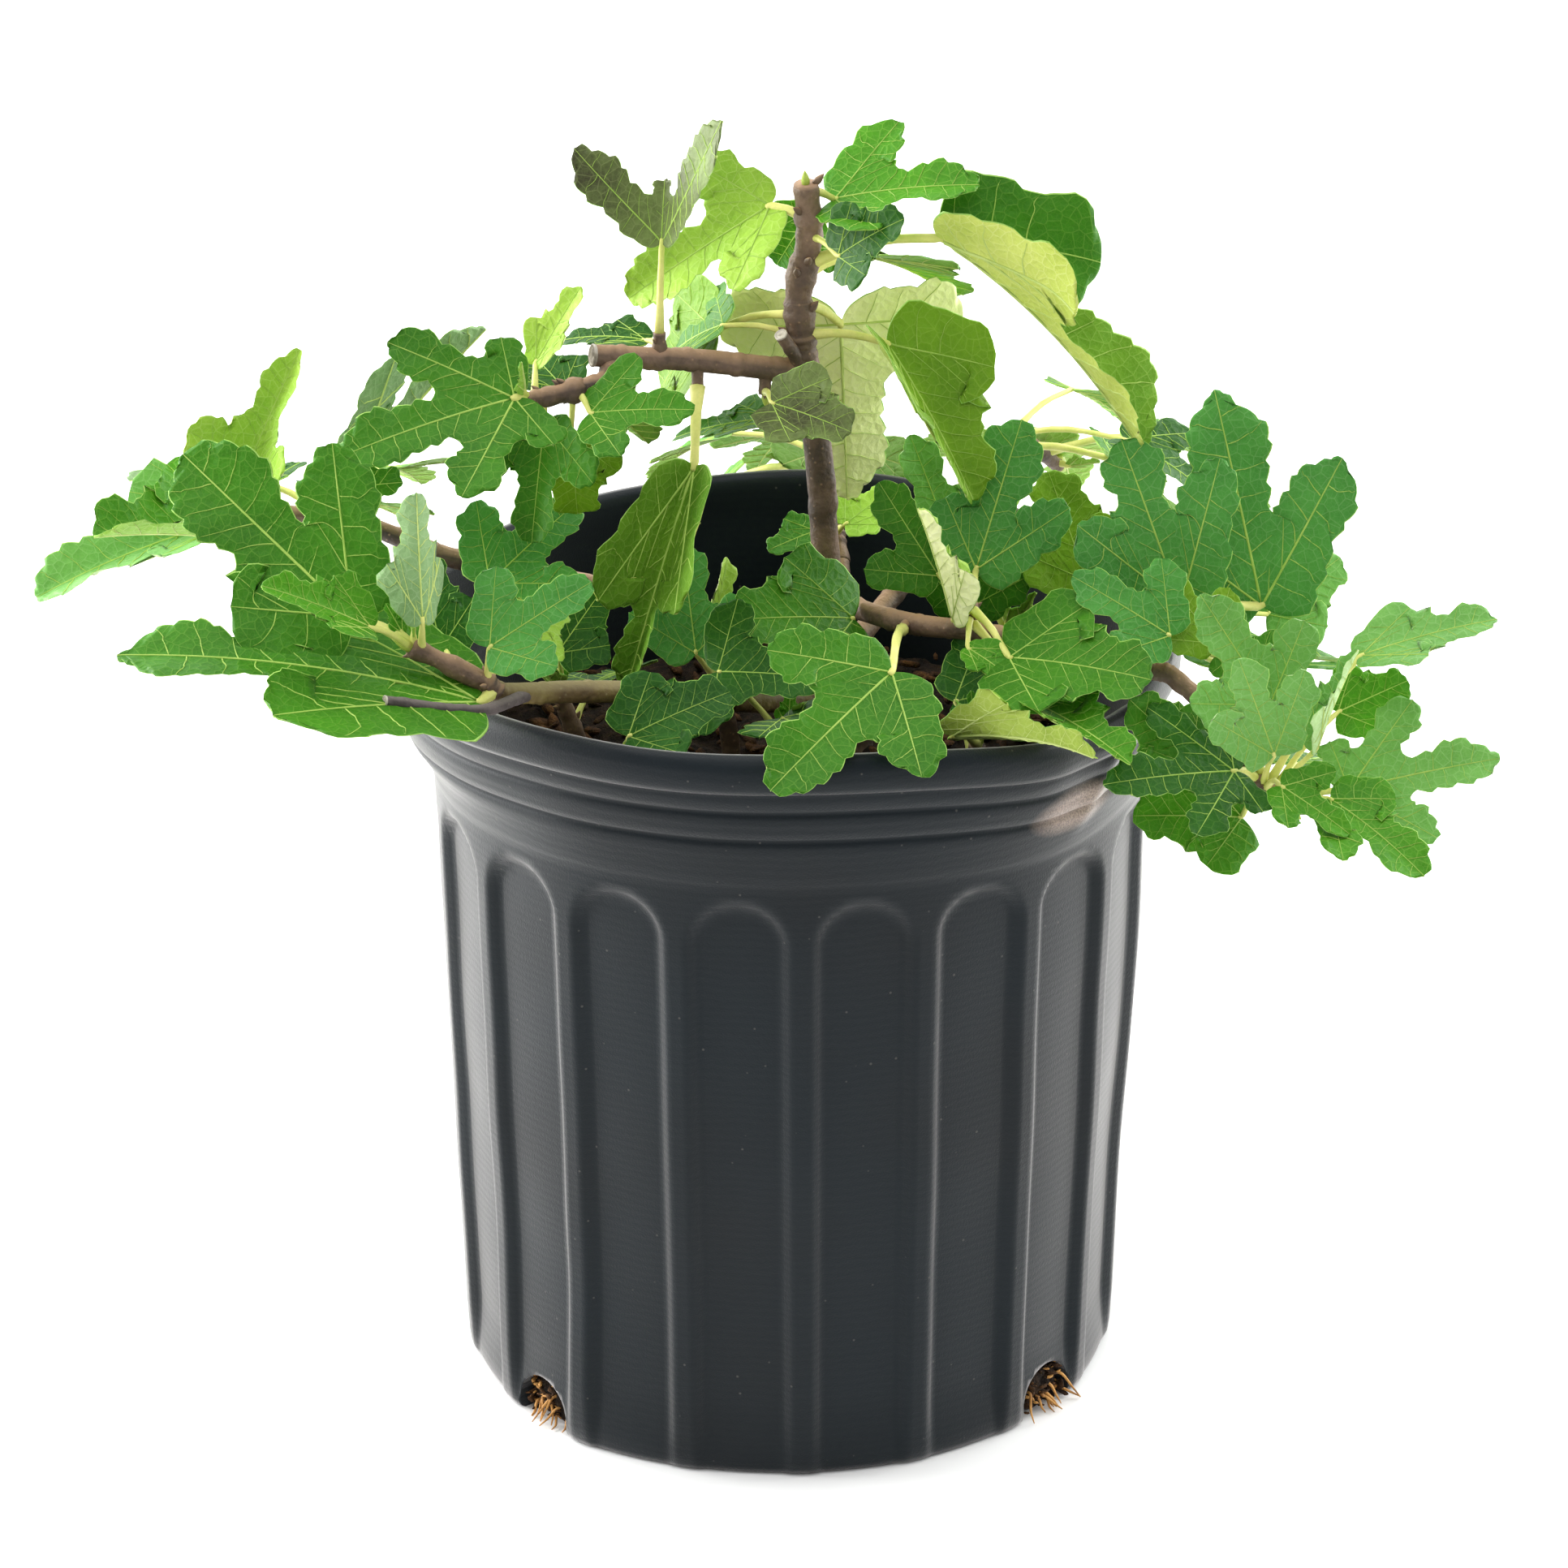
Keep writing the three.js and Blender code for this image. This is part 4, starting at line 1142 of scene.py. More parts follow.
    def blade(self, blades: Shell, ribs: Shell, joint: Array, row: Leaf, seed: int) -> Array:
        """Adds a whole blade: every lobe's upper and under face, and their ribs.

        Args:
            blades: where the faces go.
            ribs: where the ribs go.
            joint: the place where the blade meets its stalk.
            row: the leaf's row.
            seed: picks the margin's and the relief's waves.

        Returns:
            The way that the blade starts, for its stalk.
        """
        start, side, top, length = self.frame(row)
        basis = np.stack([start, side, top])
        form, part = row.form, self.parts()
        web = max(4, int(length * 0.4 / self.web_step))
        size = self.rib_width * float(np.clip(length / 62, 0.5, 1.25))
        last = len(form.value[0]) - 1
        for k, (_, reach, _) in enumerate(form.value[0]):
            lobe = self.lobe(form, k, length, web, seed)
            lift, rows = self.relief(lobe, seed * 7 + k), np.arange(len(lobe.way))
            thin = (1 - part**8)[None] * smooth(rows[::-1], 0, 1.5)[:, None]
            inner = (rows <= web)[:, None].repeat(len(part), axis=1)
            if k == 0:
                inner[:, 0] = False
            if k == last:
                inner[:, -1] = False
            thin = np.where(inner, 1.0, thin) * self.thick / 2
            faces = grid_faces(len(rows), len(part), False)
            strip = faces[:, 0] % len(part)
            rim = (strip == 0) | (strip == len(part) - 2)
            below = (faces[:, 0] // len(part)) < web
            if k > 0:
                rim &= ~((strip == 0) & below)
            if k < last:
                rim &= ~((strip == len(part) - 2) & below)
            own_net = lobe.flat + np.array([seed * 37.0 % 900, seed * 53.0 % 900])
            for under in (False, True):
                height = lift - thin if under else lift + thin
                grid = joint + self.bend(lobe.flat, height, row, length) @ basis
                shown = row.far_tint if row.far_tint is not None and k > last / 2 else row.tint
                tint = shown.value + (len(Tint) if under else 0)
                turned = faces[:, ::-1] if under else faces
                for edge in (False, True):
                    blades.add(grid, turned[rim == edge], 2 * len(Tint) if edge else tint, own_net)
                self.ribs(ribs, grid, lobe, size, 0.75 + 0.25 * min(reach, 1), under)
        return start

    def petiole(self, stalks: Shell, root: Array, joint: Array, start: Array, length: float) -> None:
        """Adds a stalk that bows up from the wood and runs into the blade, thickest at the wood.

        Args:
            stalks: where it goes.
            root: its place on the wood.
            joint: its place at the blade.
            start: the way that the blade starts.
            length: the blade's length, which sets how thick it is.
        """
        run = joint - root
        reach = float(np.linalg.norm(run))
        middle = root + 0.5 * run + np.array([0, 0, 0.5 * self.petiole_arch * reach])
        tip = joint + start * self.petiole_sink
        scale = float(np.clip(length / 55, 0.62, 1.1))
        line = np.array([[*root, self.petiole_root * scale],
                         [*middle, 0.5 * (self.petiole_root + self.petiole_tip) * scale],
                         [*joint, self.petiole_tip * scale],
                         [*tip, self.petiole_tip * scale * 0.7]])
        rings = max(9, int(reach / 3.2))
        share = np.linspace(0, 1, rings)
        swell = 1 + 0.35 * np.exp(-(share * reach / 3.5) ** 2) + 0.06 * np.sin(share * 23)
        stalks.tube(line, 9, rings, 0, swell)


@dataclass(frozen=True)
class GrowthRule:
    """The source's rule for leaves that no row sets: a two-fifths spiral up the wood.

    Leaf i turns to the heading plus the spread times a swing of 144 degrees a leaf; a seeded draw
    shifts its turn, fall, stalk and blade, and a leaf outside the space or at the rim is left out.
    """

    count: int
    seed: int
    begin: float
    start: float
    heading: float
    spread: float
    fall: float
    space: tuple[Pair, ...]
    divergence: float = 144.0
    stalk: Pair = (18.0, 26.0)
    blade: Pair = (36.0, 14.0)
    rim_radius: float = 116.0
    rim_height: float = 236.0

    def rows(self, wood: Array) -> list[Leaf]:
        """The leaves that the rule sets.

        Args:
            wood: the shoot's wood, rows of x, y, z, radius.

        Returns:
            A row for each leaf.
        """
        forms = (Form.THREE, Form.FIVE, Form.BROAD, Form.MITTEN)
        tints = (Tint.MID, Tint.FRESH, Tint.DEEP_AND_SHADED, Tint.MID, Tint.BLUISH)
        draw, found = SeededDraw(self.seed), []
        for i in range(self.count):
            place = self.begin + (1 - self.begin) * i / (self.count - 1)
            swing = ((self.start + self.divergence * i) % 360) / 180 - 1
            turn = self.heading + self.spread * swing + 10 * (draw() - 0.5)
            stalk = direction(turn, 14 - self.fall * draw())
            stalk = stalk * (self.stalk[0] + self.stalk[1] * draw())
            blade = direction(turn + 16 * (draw() - 0.5), -self.fall - 24 * draw())
            blade = blade * (self.blade[0] + self.blade[1] * draw())
            joint = spot_at(wood, place)[0] + stalk
            form = forms[int(draw() * len(forms))]
            half = np.array([-blade[1], blade[0], 0]) * 0.5
            corners = [joint, joint + blade, joint + blade * 0.5 + half, joint + blade * 0.5 - half]
            inside = all(low <= p[a] <= high for p in corners[:2] for a, (low, high) in enumerate(self.space))
            clear = all(math.hypot(*p[:2]) > self.rim_radius or p[2] > self.rim_height for p in corners)
            if inside and clear:
                tint = tints[i % len(tints)]
                found.append(Leaf(place, tuple(stalk), tuple(blade), (turn, 52), form, 8, 24, tint))
        return found


@dataclass(frozen=True)
class Shoot:
    """A shoot: its own wood as x, y, z, radius rows, its leaves, and its rule for the rest."""

    wood: Line
    leaves: tuple[Leaf, ...]
    rule: GrowthRule | None = None


SHOOTS: dict[str, Shoot] = {
    "top_leaves": Shoot((
        (5, 4, 308, 4.2), (4.6, 3.8, 312, 4.1), (4, 4, 324, 4), (7, 2.4, 341, 3.7), (6, 0, 357, 3.4)), (
        Leaf(0.82, (-11, 5, 3), (-40, 8, -30), (-100, 30), Form.HAND, 26, 15, Tint.YELLOW_AND_BACKLIT),
        Leaf(0.85, (0, 18, -6), (-9, 16, -20), (-80, 35), Form.THREE, 10, 10),
        Leaf(0.97, (8, 4, -4), (40, -10, 7), (-88, 64), Form.THREE, 16, 15, Tint.FRESH),
        Leaf(0.75, (8, -15, -1), (18, -10, 14), (-70, 45), Form.BROAD, 10, 20, Tint.DEEP_AND_SHADED),
        Leaf(0.62, (38, -10, 11), (56, -14, -58), (-20, 40), Form.LOPSIDED, 56, 30, Tint.FOLDED,
             0.3, Tint.MID),
        # Its pale under face, towards the camera, is painted backlight.
        Leaf(0.42, (12, 18, -12), (2, 12, -58), (92, 14), Form.CROSS, 14, 12, Tint.YELLOW_AND_BACKLIT),
        Leaf(0.2, (24, -4, -1), (24, -14, -42), (-44, 28), Form.BROAD, 42, 14, Tint.OLIVE),
        Leaf(0.36, (-24, 13, -9), (-16, 28, -28), (-108, 45), Form.BROAD, 16, 15, Tint.OLIVE),
        Leaf(0.16, (-22, 2, 3), (-14, 20, -15), (-100, 55), Form.THREE, 14, 15),
        Leaf(0.56, (18, 14, 2), (26, 28, -22), (50, 48), Form.BROAD, 10, 20),
    )),
    "arm_upper_leaves": Shoot(((-35, -7.1, 309, 2), (-35, -7, 316, 1.6)), (
        Leaf(1, (1, 1, 26), (3, 12, 36), (-120, 12), Form.WINGS, 34, 8, Tint.STAINED),
        Leaf(0.4, (-4, 8, -1), (-24, 11, -4), (-80, 76), Form.NARROW, 14, 22, Tint.DEEP_AND_SHADED),
    )),
    "arm_inner_leaves": Shoot(((-5.6, 1.4, 302, 1.8), (-5.6, 0, 295, 1.5)), (
        Leaf(0.9, (2, -15, 2), (22, -13, -4), (-92, 48), Form.ROUND, 20, 16, Tint.STAINED),
        Leaf(0.9, (2, 13, -13), (-28, 14, -11), (-70, 74), Form.NARROW, 10, 16),
    )),
    "arm_hanging_leaf": Shoot(((-24.5, -4.2, 306, 1.8), (-24.5, -6, 299.5, 1.5)), (
        Leaf(1, (-1, -13, -19), (-20, -14, -64), (-104, 26), Form.TAPER, 57, 12, Tint.FOLDED),
    )),
    "arm_end_leaves": Shoot(((-56, -17, 303.2, 3), (-66, -20, 301.8, 2.7), (-72, -22, 301.5, 2.1)), (
        Leaf(1, (-3, -4, 2), (-48, -20, -10), (-98, 45), Form.FIVE, 8, 18),
        Leaf(0.1, (4, -8, -4), (29, -9, 4), (-80, 50), Form.THREE, 8, 14),
        Leaf(0.6, (0, 4, -9), (-4, -8, -33), (-100, 12), Form.THREE, 22, 10),
        Leaf(0.8, (0, 10, 7), (13, 7, 20), (-130, 26), Form.NARROW, 26, 6, Tint.YELLOW_AND_BACKLIT),
        Leaf(0.5, (4, 12, -2), (-10, 18, 4), (-90, 60), Form.BROAD, 12, 12, Tint.DEEP_AND_SHADED),
        Leaf(0.15, (-1, 6, -16), (1, 8, -26), (-90, 16), Form.BROAD, 8, 12, Tint.OLIVE),
        Leaf(0.75, (-12, 12, -9), (-26, 26, -14), (135, 55), Form.THREE, 10, 22),
        Leaf(0.2, (5, 15, -8), (16, 24, -22), (60, 40), Form.THREE, 12, 18),
    )),
    "low_left_leaves": Shoot((
        (-79, -80, 237.5, 3.1), (-82, -80.6, 240.5, 3), (-90, -82, 246, 2.8), (-102, -84, 253, 2.3)), (
        Leaf(0.95, (-18, 7, 7), (-47, 28, 37), (-88, 26), Form.MITTEN, 8, 14),
        Leaf(0.92, (1, -7, 12), (-1, 6, 35), (112, 12), Form.NARROW, 40, 6, Tint.BLUISH),
        Leaf(1, (-10, -8, 9), (-28, -12, 17), (-120, 52), Form.NARROW, 30, 14, Tint.FRESH),
        Leaf(0.7, (-4, 22, -4), (-6, 17, 20), (-92, 24), Form.BROAD, 10, 10, Tint.DEEP_AND_SHADED),
        Leaf(0.3, (1, -2, 12), (28, 5, 17), (-84, 40), Form.THREE, 22, 12, Tint.BLUISH),
        Leaf(0.3, (6, 20, 5), (12, 22, 1), (-90, 34), Form.BROAD, 8, 10, Tint.YELLOW_AND_BACKLIT),
        Leaf(0.04, (-4, -7, 0), (-98, -2, 15), (-82, 79), Form.TAPER, 8, 20),
    )),
    # Many leaves low inside the pot take the deep green as painted shade from the rim.
    "front_left_leaves": Shoot(((-42, -62, 180.3, 3.2), (-42, -62, 188, 3), (-44, -72, 216, 2.2)), (
        Leaf(0.85, (0, -9, 16), (28, 5, 11), (-88, 52), Form.BROAD, 10, 14, Tint.DEEP_AND_SHADED),
    )),
    "inner_leaves": Shoot(((-16, -4, 180.3, 3), (-16, -4, 188, 2.8), (-18, -6, 206, 2.3)), (
        Leaf(0.9, (-8, -10, 20), (-4, 20, 26), (-90, 12), Form.THREE, 10, 10, Tint.BLUISH),
        Leaf(1, (-5, 5, 12), (6, 13, 23), (-30, 20), Form.NARROW, 34, 8, Tint.YELLOW_AND_BACKLIT),
        Leaf(0.95, (37, -8, 28), (-33, -18, 7), (-84, 46), Form.ROUND, 8, 16),
    )),
    "inner_front_leaves": Shoot(((2, -40, 180.3, 3), (2, -40, 188, 2.8), (0, -46, 208, 2.2)), (
        Leaf(1, (-19, 1, 21), (32, -13, 3), (-86, 44), Form.CROSS, 10, 16, Tint.DEEP_AND_SHADED),
        Leaf(0.8, (-2, -14, 20), (14, -26, 2), (-80, 62), Form.BROAD, 10, 18, Tint.DEEP_AND_SHADED),
    )),
    "inner_left_leaves": Shoot(((-56, -24, 180.3, 3), (-56, -24, 188, 2.8), (-64, -30, 216, 2.2)), (
        Leaf(1, (-20, 20, 26), (24, 24, 15), (-95, 40), Form.THREE, 10, 12, Tint.BLUISH),
        Leaf(0.9, (-2, -3, 19), (13, 15, 14), (-92, 22), Form.BROAD, 10, 10, Tint.DEEP_AND_SHADED),
        Leaf(0.8, (6, 18, 6), (10, 26, -8), (100, 60), Form.THREE, 10, 20, Tint.DEEP_AND_SHADED),
    )),
    "inner_right_leaves": Shoot(((48, -58, 180.3, 3), (48, -58, 188, 2.8), (53, -62, 214, 2.2)), (
        Leaf(1, (-8, -22, 12), (38, -22, 3), (80, 40), Form.NARROW, 26, 30, Tint.OLIVE),
        Leaf(0.9, (-5, 11, 13), (33, 15, -1), (-88, 60), Form.THREE, 10, 14, Tint.DEEP_AND_SHADED),
    )),
    "front_rim_leaf": Shoot(((34.6, -23.6, 235, 1.7), (32.6, -33, 236.6, 1.5)), (
        Leaf(1, (-4, -55, 10), (-33, -34, -20), (-88, 44), Form.THREE, 6, 16),
    )),
    "right_spur_leaves": Shoot(((51, -36, 237.5, 2.3), (52, -36, 246, 1.8)), (
        Leaf(0.6, (-8, 26, 1), (-17, 12, 24), (-100, 22), Form.THREE, 10, 10),
        Leaf(0.9, (2, 22, 2), (13, 14, 40), (-94, 20), Form.MITTEN, 8, 10, Tint.BLUISH),
        Leaf(0.7, (-5, -8, 0), (-10, 0, 34), (10, 14), Form.NARROW, 52, 8, Tint.YELLOW_AND_BACKLIT),
        Leaf(0.5, (-1, -16, -3), (14, -12, -6), (-90, 56), Form.NARROW, 16, 14, Tint.FRESH),
        Leaf(0.8, (10, -22, -6), (38, -19, 1), (-88, 56), Form.BROAD, 8, 16),
        Leaf(0.4, (15, -28, -13), (27, -33, -5), (-60, 60), Form.NARROW, 34, 20, Tint.FRESH),
    )),
    "right_mid_leaves": Shoot(((96, -49.2, 232.5, 2.4), (103.5, -46, 243, 2)), (
        Leaf(1, (7, 12, 1), (-17, 10, 46), (-86, 20), Form.FAN, 8, 10, Tint.BLUISH),
        Leaf(1, (31, 26, -5), (-14, 14, 60), (-88, 20), Form.SPIRE, 10, 10, Tint.BLUISH),
        Leaf(0.8, (35, 38, -10), (22, 16, 11), (-90, 20), Form.BROAD, 10, 10, Tint.YOUNG),
        Leaf(0.7, (5, -9, 4), (-27, 7, 15), (-90, 38), Form.THREE, 8, 14, Tint.BLUISH),
        Leaf(0.8, (17, -3, -2), (-14, 9, 17), (-80, 30), Form.THREE, 12, 10, Tint.OLIVE),
        Leaf(0.6, (19, -4, -3), (20, -6, 6), (-90, 50), Form.THREE, 12, 14),
        Leaf(0.9, (2, 28, 0), (4, 36, -6), (85, 58), Form.THREE, 8, 24),
        Leaf(0.5, (24, 18, -14), (36, 26, -10), (40, 60), Form.FIVE, 8, 24),
    )),
    "right_tip_leaves": Shoot((
        (126, -60, 211, 2.6), (131, -62, 203, 2.5), (136, -65, 199, 2.3), (140, -67, 196, 1.8)), (
        Leaf(0.36, (2, -7, 26), (-20, 2, 32), (-80, 22), Form.THREE, 14, 10, Tint.YOUNG),
        Leaf(0.45, (1, -20, 18), (-11, -6, 31), (-86, 22), Form.FAN, 16, 8, Tint.YOUNG),
        Leaf(0.7, (10, -5, 17), (11, 4, 28), (-168, 20), Form.NARROW, 50, 8, Tint.YOUNG),
        Leaf(0.5, (26, 9, 36), (38, 4, 9), (-100, 72), Form.NARROW, 14, 14, Tint.YOUNG),
        Leaf(0.6, (19, 13, 19), (20, 8, 6), (-90, 30), Form.BROAD, 10, 10, Tint.FRESH),
        Leaf(0.85, (18, -2, 5), (41, -4, 11), (-90, 48), Form.FIVE, 8, 14, Tint.YOUNG),
        Leaf(0.95, (10, -17, 10), (24, -23, -13), (-72, 54), Form.MITTEN, 12, 22, Tint.FRESH),
        Leaf(0.5, (2, -26, 12), (18, -10, -10), (-90, 58), Form.THREE, 18, 12, Tint.FRESH),
        Leaf(0.34, (-8, -17, 10), (-37, -18, 4), (-96, 50), Form.FIVE, 8, 14, Tint.DEEP_AND_SHADED),
        Leaf(0.4, (-5, -1, -10), (-31, -10, 5), (-92, 40), Form.BROAD, 8, 12, Tint.FRESH),
        Leaf(0.34, (-19, -7, 10), (-18, -6, 20), (-90, 26), Form.BROAD, 10, 10),
        Leaf(0.7, (6, 14, 4), (20, 30, -14), (60, 55), Form.THREE, 8, 24),
        Leaf(0.4, (-8, 18, -4), (-6, 34, -22), (100, 48), Form.FIVE, 8, 22),
    )),
    "right_back_leaves": Shoot(((60, 22, 180.3, 3), (60, 22, 188, 2.8), (66, 26, 212, 2.2)), (
        Leaf(1, (21, -6, 18), (-11, 10, 30), (-80, 18), Form.BROAD, 10, 10, Tint.OLIVE),
        Leaf(0.8, (-12, -8, 20), (6, 12, 30), (-90, 18), Form.THREE, 10, 10),
        Leaf(0.95, (-18, 15, 27), (-11, 8, 28), (-80, 16), Form.THREE, 10, 8, Tint.YOUNG),
    )),
    "back_left_leaves": Shoot((
        (-118, 23, 246, 2.9), (-125, 24, 248.5, 2.8), (-138, 24, 250, 2.6), (-154, 24, 249, 2)), (
        Leaf(0.1, (-4, -5, 16), (38, 22, 38), (150, 34), Form.MITTEN, 16, 8, Tint.BLUISH),
        Leaf(0.2, (-8, -9, 13), (21, -4, 4), (-90, 58), Form.BROAD, 10, 10),
        # This leaf takes the yellow tint as painted backlight.
        Leaf(0.9, (-4, -10, 20), (15, 10, 31), (-110, 20), Form.CROSS, 44, 8, Tint.YELLOW_AND_BACKLIT),
        Leaf(1, (-2, -12, -2), (-39, -28, 12), (-130, 66), Form.BROAD, 42, 16, Tint.FRESH),
        Leaf(0.9, (-8, 10, -4), (-59, -20, -17), (-100, 66), Form.NARROW, 34, 22, Tint.YOUNG),
    ), GrowthRule(5, 7, 0.1, 0, 100, 75, 26, ((-215, -85), (24, 115), (150, 262)))),
    "back_leaves": Shoot((
        (16, 51, 223.6, 3.1), (14, 62, 231.8, 3), (13, 98, 239.5, 2.8), (11, 114, 238, 2.6),
        (10, 136, 222, 2)), (
        Leaf(0.12, (-6, -6, 6), (-14, -8, -3), (-88, 60), Form.BROAD, 10, 10),
        Leaf(0.16, (3, -6, 6), (13, 10, 6), (-80, 60), Form.BROAD, 10, 10, Tint.YELLOW_AND_BACKLIT),
    ), GrowthRule(7, 7, 0.4, 160, 92, 90, 34, ((-60, 38), (90, 215), (110, 262)))),
    "back_right_leaves": Shoot(
        ((56, 84, 238, 2.9), (61, 95, 243, 2.8), (69, 110, 242, 2.6), (84, 130, 224, 2)), (),
        GrowthRule(7, 3, 0.3, 120, 45, 90, 30, ((62, 185), (20, 205), (110, 262)))),
}


@dataclass
class Foliage:
    """The leaves, ribs, stalks and shoots of the plant, in one set of pieces for each shoot."""

    maker: LeafMaker = field(default_factory=LeafMaker)
    bud_length: float = 6.5
    sprout_blade: float = 15.0
    seed: int = 11
    young: tuple[str, ...] = ("top_leaves", "right_tip_leaves", "back_left_leaves")
    bare: tuple[str, ...] = ("top_leaves",)
    upper: tuple[LeafFinish, ...] = (
        LeafFinish("leaf_mid", 0x39760E, 0x2C630B, 0x749F3E),
        # Deep green, darkened also to stand as painted shade on leaves inside the pot.
        LeafFinish("leaf_deep_and_painted_shade", 0x22570B, 0x194709, 0x5B8836),
        LeafFinish("leaf_bluish", 0x4C903A, 0x3C7C30, 0x84B06E),
        LeafFinish("leaf_fresh", 0x468910, 0x38760D, 0x8AB54A),
        LeafFinish("leaf_yellow", 0x9BC044, 0x84AE36, 0xC2D87E),
        LeafFinish("leaf_olive", 0x6F991C, 0x5B8416, 0x9AB34E),
        LeafFinish("leaf_stained", 0x6F8444, 0x3C3E27, 0x86925A),
        LeafFinish("leaf_young", 0x6CA64A, 0x58923A, 0x9CC57E, down=0.15),
        LeafFinish("leaf_folded", 0x648F22, 0x52801C, 0x9CBA58, 0.75),
    )
    under: tuple[LeafFinish, ...] = (
        LeafFinish("under_mid", 0x7DAE45, 0x69993A, 0xB4CE7E, 0.6, relief=0.0004),
        LeafFinish("under_deep", 0x6F9C50, 0x5B8740, 0xA4C180, 0.6, relief=0.0004),
        LeafFinish("under_bluish", 0x86A970, 0x70935C, 0xAFC79A, 0.65, 0.15, 0.0004),
        LeafFinish("under_fresh", 0x8FBB46, 0x7AA83A, 0xC6DC86, 0.6, relief=0.0004),
        # Near-white under face: painted backlight, the glow of light through the thin blade.
        LeafFinish("under_yellow_painted_backlight", 0xF8FCC0, 0xEAF4A6, 0xFCFDDC, 0.6, relief=0.0004),
        LeafFinish("under_olive", 0xA3B950, 0x8DA43F, 0xCBD587, 0.6, relief=0.0004),
        LeafFinish("under_stained", 0x91AE66, 0x7C9655, 0xB4C88C, 0.6, relief=0.0004),
        LeafFinish("under_young", 0xBCDA98, 0xA8CA84, 0xD8E8C0, 0.65, 0.2, 0.0004),
        LeafFinish("under_folded", 0xCBD66E, 0xB2C254, 0xE6EAAA, 0.6, relief=0.0004),
    )
    margin: LeafFinish = LeafFinish("leaf_margin", 0x9BC25E, 0x7FAE48, 0xB0CF7C)
    rib_upper: StemFinish = StemFinish("rib_upper", 0xA9C65C, 0x8FB448)
    rib_under: StemFinish = StemFinish("rib_under", 0xCBDA84, 0xB1C868)
    stalk: StemFinish = StemFinish("petiole_yellow", 0xDDD982, 0xBFC862, 0.5, 160.0)
    bud: StemFinish = StemFinish("bud_green", 0xB4C257, 0x8BA23C)
    shoot_bark: BarkFinish = BarkFinish("shoot_bark", 0x7C6450, 0x5D4A3A, 0x41332A, 0xAE8C6A)

    def build(self) -> list[Object]:
        """Makes the finishes, then every shoot's pieces.

        Returns:
            The pieces.
        """
        greens = [f.build() for f in (*self.upper, *self.under, self.margin)]
        ribs = [self.rib_upper.build(), self.rib_under.build()]
        stems = [self.stalk.build(), self.shoot_bark.build(), self.bud.build()]
        made = []
        for number, (name, shoot) in enumerate(SHOOTS.items()):
            made += self.shoot(name, shoot, self.seed + number * 17, greens, ribs, stems)
        return made

    def shoot(self, name: str, shoot: Shoot, seed: int, greens: list[Material],
              ribs: list[Material], stems: list[Material]) -> list[Object]:
        """Makes one shoot's blades, ribs and wood, which stand for its solid.

        Args:
            name: the solid's name, carried by the pieces.
            shoot: its wood and leaves.
            seed: start of its leaves' own seeds.
            greens: finishes of the faces and the margin.
            ribs: finishes of the upper and under ribs.
            stems: finishes of stalks, bark and buds.

        Returns:
            The three pieces.
        """
        wood = np.array(shoot.wood, float)
        rows = list(shoot.leaves) + (shoot.rule.rows(wood) if shoot.rule else [])
        blades, veins, stalks = Shell(), Shell(), Shell()
        for i, row in enumerate(rows):
            root = spot_at(wood, row.place)[0]
            joint = root + np.array(row.stalk, float)
            start = self.maker.blade(blades, veins, joint, row, seed + i)
            self.maker.petiole(stalks, root, joint, start, float(np.linalg.norm(row.blade)))
        self.wood(stalks, wood, [row.place for row in rows])
        if len(wood) > 2 and wood[-1, 3] >= 1.8 and name not in self.bare:
            self.sprouts(blades, veins, stalks, wood, seed)
        return [make_piece(f"{name}_blades", blades, greens, [name]),
                make_piece(f"{name}_ribs", veins, ribs, [name], 0.002),
                make_piece(f"{name}_stems", stalks, stems, [name])]

    def wood(self, stalks: Shell, wood: Array, places: Sequence[float]) -> None:
        """Adds a shoot's stem, with a ring and a small bud at each leaf and a bud at its end.

        Args:
            stalks: where it goes.
            wood: rows of x, y, z, radius.
            places: each leaf's share of the way along it.
        """
        spots, along, radius = run_along(wood, np.linspace(0, 1, 80))
        reach = float(way_along(spots)[-1])
        rings = max(8, int(reach / 0.9))
        share = np.linspace(0, 1, rings)
        swell = 1 + 0.05 * np.sin(share * reach / 2.1)
        for place in places:
            swell += 0.14 * np.exp(-(((share - place) * reach) / 1.3) ** 2)
            swell -= 0.07 * np.exp(-(((share - place) * reach - 2.4) / 0.6) ** 2)
        stalks.tube(wood, 14, rings, 1, swell)
        self.bud_at(stalks, spots[-1], along[-1], float(radius[-1]) * (0.8 if radius[-1] < 3 else 0.4))
        for i, place in enumerate(places):
            spot, way, size = spot_at(wood, min(place + 1.6 / max(reach, 4), 1.0))
            out = unit(np.cross(way, direction(137.5 * i, 20)))
            self.bud_at(stalks, spot + out * size * 0.85, unit(out + way), size * 0.34, 1)

    def bud_at(self, stalks: Shell, spot: Array, way: Array, size: float,
               finish: int = 2) -> None:
        """Adds a pointed bud, its base sunk in what it grows on.

        Args:
            stalks: where it goes.
            spot: where it stands.
            way: where it points.
            size: its radius.
            finish: its finish number.
        """
        length = self.bud_length * min(size / 2.2, 1.0)
        line = np.array([[*(spot - way * size * 0.5), size * 0.8],
                         [*(spot + way * length * 0.35), size * 0.95],
                         [*(spot + way * length * 0.75), size * 0.5],
                         [*(spot + way * length), size * 0.08]])
        stalks.tube(line, 8, 8, finish)

